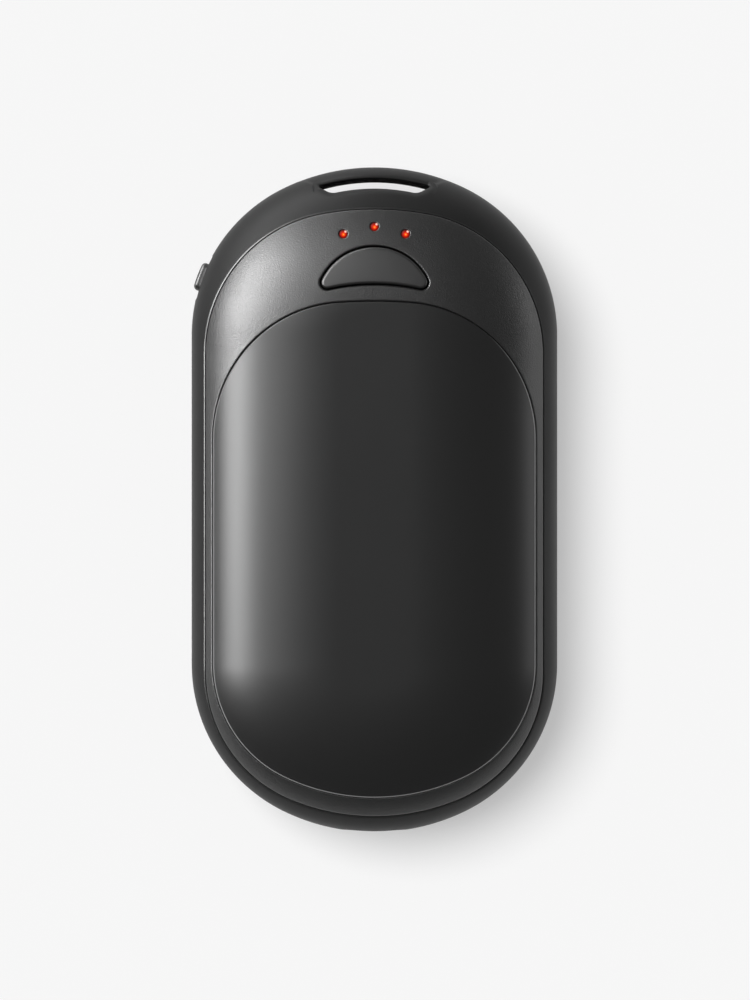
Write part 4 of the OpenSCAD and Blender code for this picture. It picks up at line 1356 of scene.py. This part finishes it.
@dataclass
class Studio:
    """Plain pale floor, soft light from the upper left and a camera straight above."""

    camera_at: tuple[float, float, float] = (0.000087, -0.000045, 0.6125)
    lens_mm: float = 143.5
    floor_colour: str = "#f1f1f1"
    floor_seen: float = 0.98
    floor_share: float = 0.465
    floor_mirrored: float = 0.05
    floor_half: float = 20.0
    room: float = 0.09
    broad: tuple[float, float] = (146.0, 66.0)
    broad_angle: float = 34.0
    broad_irradiance: float = 0.91 * math.pi
    boxes: tuple[SoftBox, ...] = (
        SoftBox("soft_box_key", 159.2, 34.6, (0.94, 0.44), 17.9),
        SoftBox("soft_box_glow", 141.6, 53.7, (0.78, 0.78), 2.75),
        SoftBox("soft_box_top", 120.0, 5.0, (1.0, 0.26), 13.0, 1.3),
        SoftBox("soft_box_rim", 11.9, 12.7, (0.8, 0.3), 2.25, 1.3),
    )

    def build(self) -> None:
        """Makes the floor, the lights, the surrounding light and the camera."""
        self.floor()
        self.lights()
        self.surroundings()
        view = bpy.data.cameras.new("view")
        view.lens = self.lens_mm
        view.clip_start = 0.01
        camera = placed("view", view)
        camera.location = self.camera_at
        bpy.context.scene.camera = camera
        bpy.context.scene.view_settings.view_transform = "Standard"

    def floor(self) -> None:
        """Lays the floor, which keeps the object's shadow."""
        mesh = bpy.data.meshes.new("floor")
        half = self.floor_half
        mesh.from_pydata([(-half, -half, 0), (half, -half, 0), (half, half, 0), (-half, half, 0)], [], [(0, 1, 2, 3)])
        made = placed("floor", mesh)
        material = bpy.data.materials.new("painted_board_matte")
        material.use_nodes = True
        shader = material.node_tree.nodes["Principled BSDF"]
        shader.inputs["Base Color"].default_value = linear(self.floor_colour)
        shader.inputs["Roughness"].default_value = 1.0
        shader.inputs["Specular IOR Level"].default_value = 0.0
        self.even_out(material.node_tree, shader)
        mesh.materials.append(material)

    def even_out(self, tree: Tree, shader: Node) -> None:
        """Mixes plain white into the floor where the camera, a reflection or clear plastic shows it.

        Args:
            tree: the floor material's tree.
            shader: its shader node.
        """
        rays = node(tree, "LightPath").outputs
        mirrored = node(tree, "Math", {"operation": "ADD", "use_clamp": True}, i0=rays["Is Glossy Ray"],
                        i1=rays["Is Transmission Ray"])
        mirrored = node(tree, "Math", {"operation": "MULTIPLY"}, i0=mirrored.outputs[0], i1=self.floor_mirrored)
        share = node(tree, "Math", {"operation": "MULTIPLY_ADD", "use_clamp": True}, i0=rays["Is Camera Ray"],
                     i1=self.floor_share, i2=mirrored.outputs[0])
        plain = node(tree, "Emission", Color=linear("#ffffff"), Strength=self.floor_seen)
        mixed = node(tree, "MixShader", Fac=share.outputs[0], i1=shader.outputs[0], i2=plain.outputs[0])
        tree.links.new(mixed.outputs[0], tree.nodes["Material Output"].inputs["Surface"])

    def lights(self) -> None:
        """Hangs the highlight boxes, and the broad lamp that lights all evenly and casts the shadow."""
        for box in self.boxes:
            box.hang()
        made = hang("broad_daylight", "SUN", *self.broad)
        made.data.angle = math.radians(self.broad_angle)
        made.data.energy = self.broad_irradiance / math.sin(math.radians(self.broad[1]))
        made.visible_glossy = False

    def surroundings(self) -> None:
        """Fills the room with dim even light."""
        world = bpy.data.worlds.new("room")
        bpy.context.scene.world = world
        world.use_nodes = True
        background = world.node_tree.nodes["Background"]
        background.inputs["Color"].default_value = linear("#ffffff")
        background.inputs["Strength"].default_value = self.room


def main() -> None:
    """Builds every sub-assembly in order, dresses what stays and sets up the studio."""
    logging.basicConfig(level=logging.INFO, format="%(name)s: %(message)s")
    Studio().build()
    pieces = [Frame(), Cover(Side.FRONT), Cover(Side.REAR), HeatPlate(Side.FRONT), HeatPlate(Side.REAR),
              PowerButton(), Lenses(), SideKnob()]
    for piece in pieces:
        made = piece.build()
        LOG.info("%s: %d faces", made.name, len(made.data.polygons))
    dress_inside()


if __name__ == "__main__":
    main()
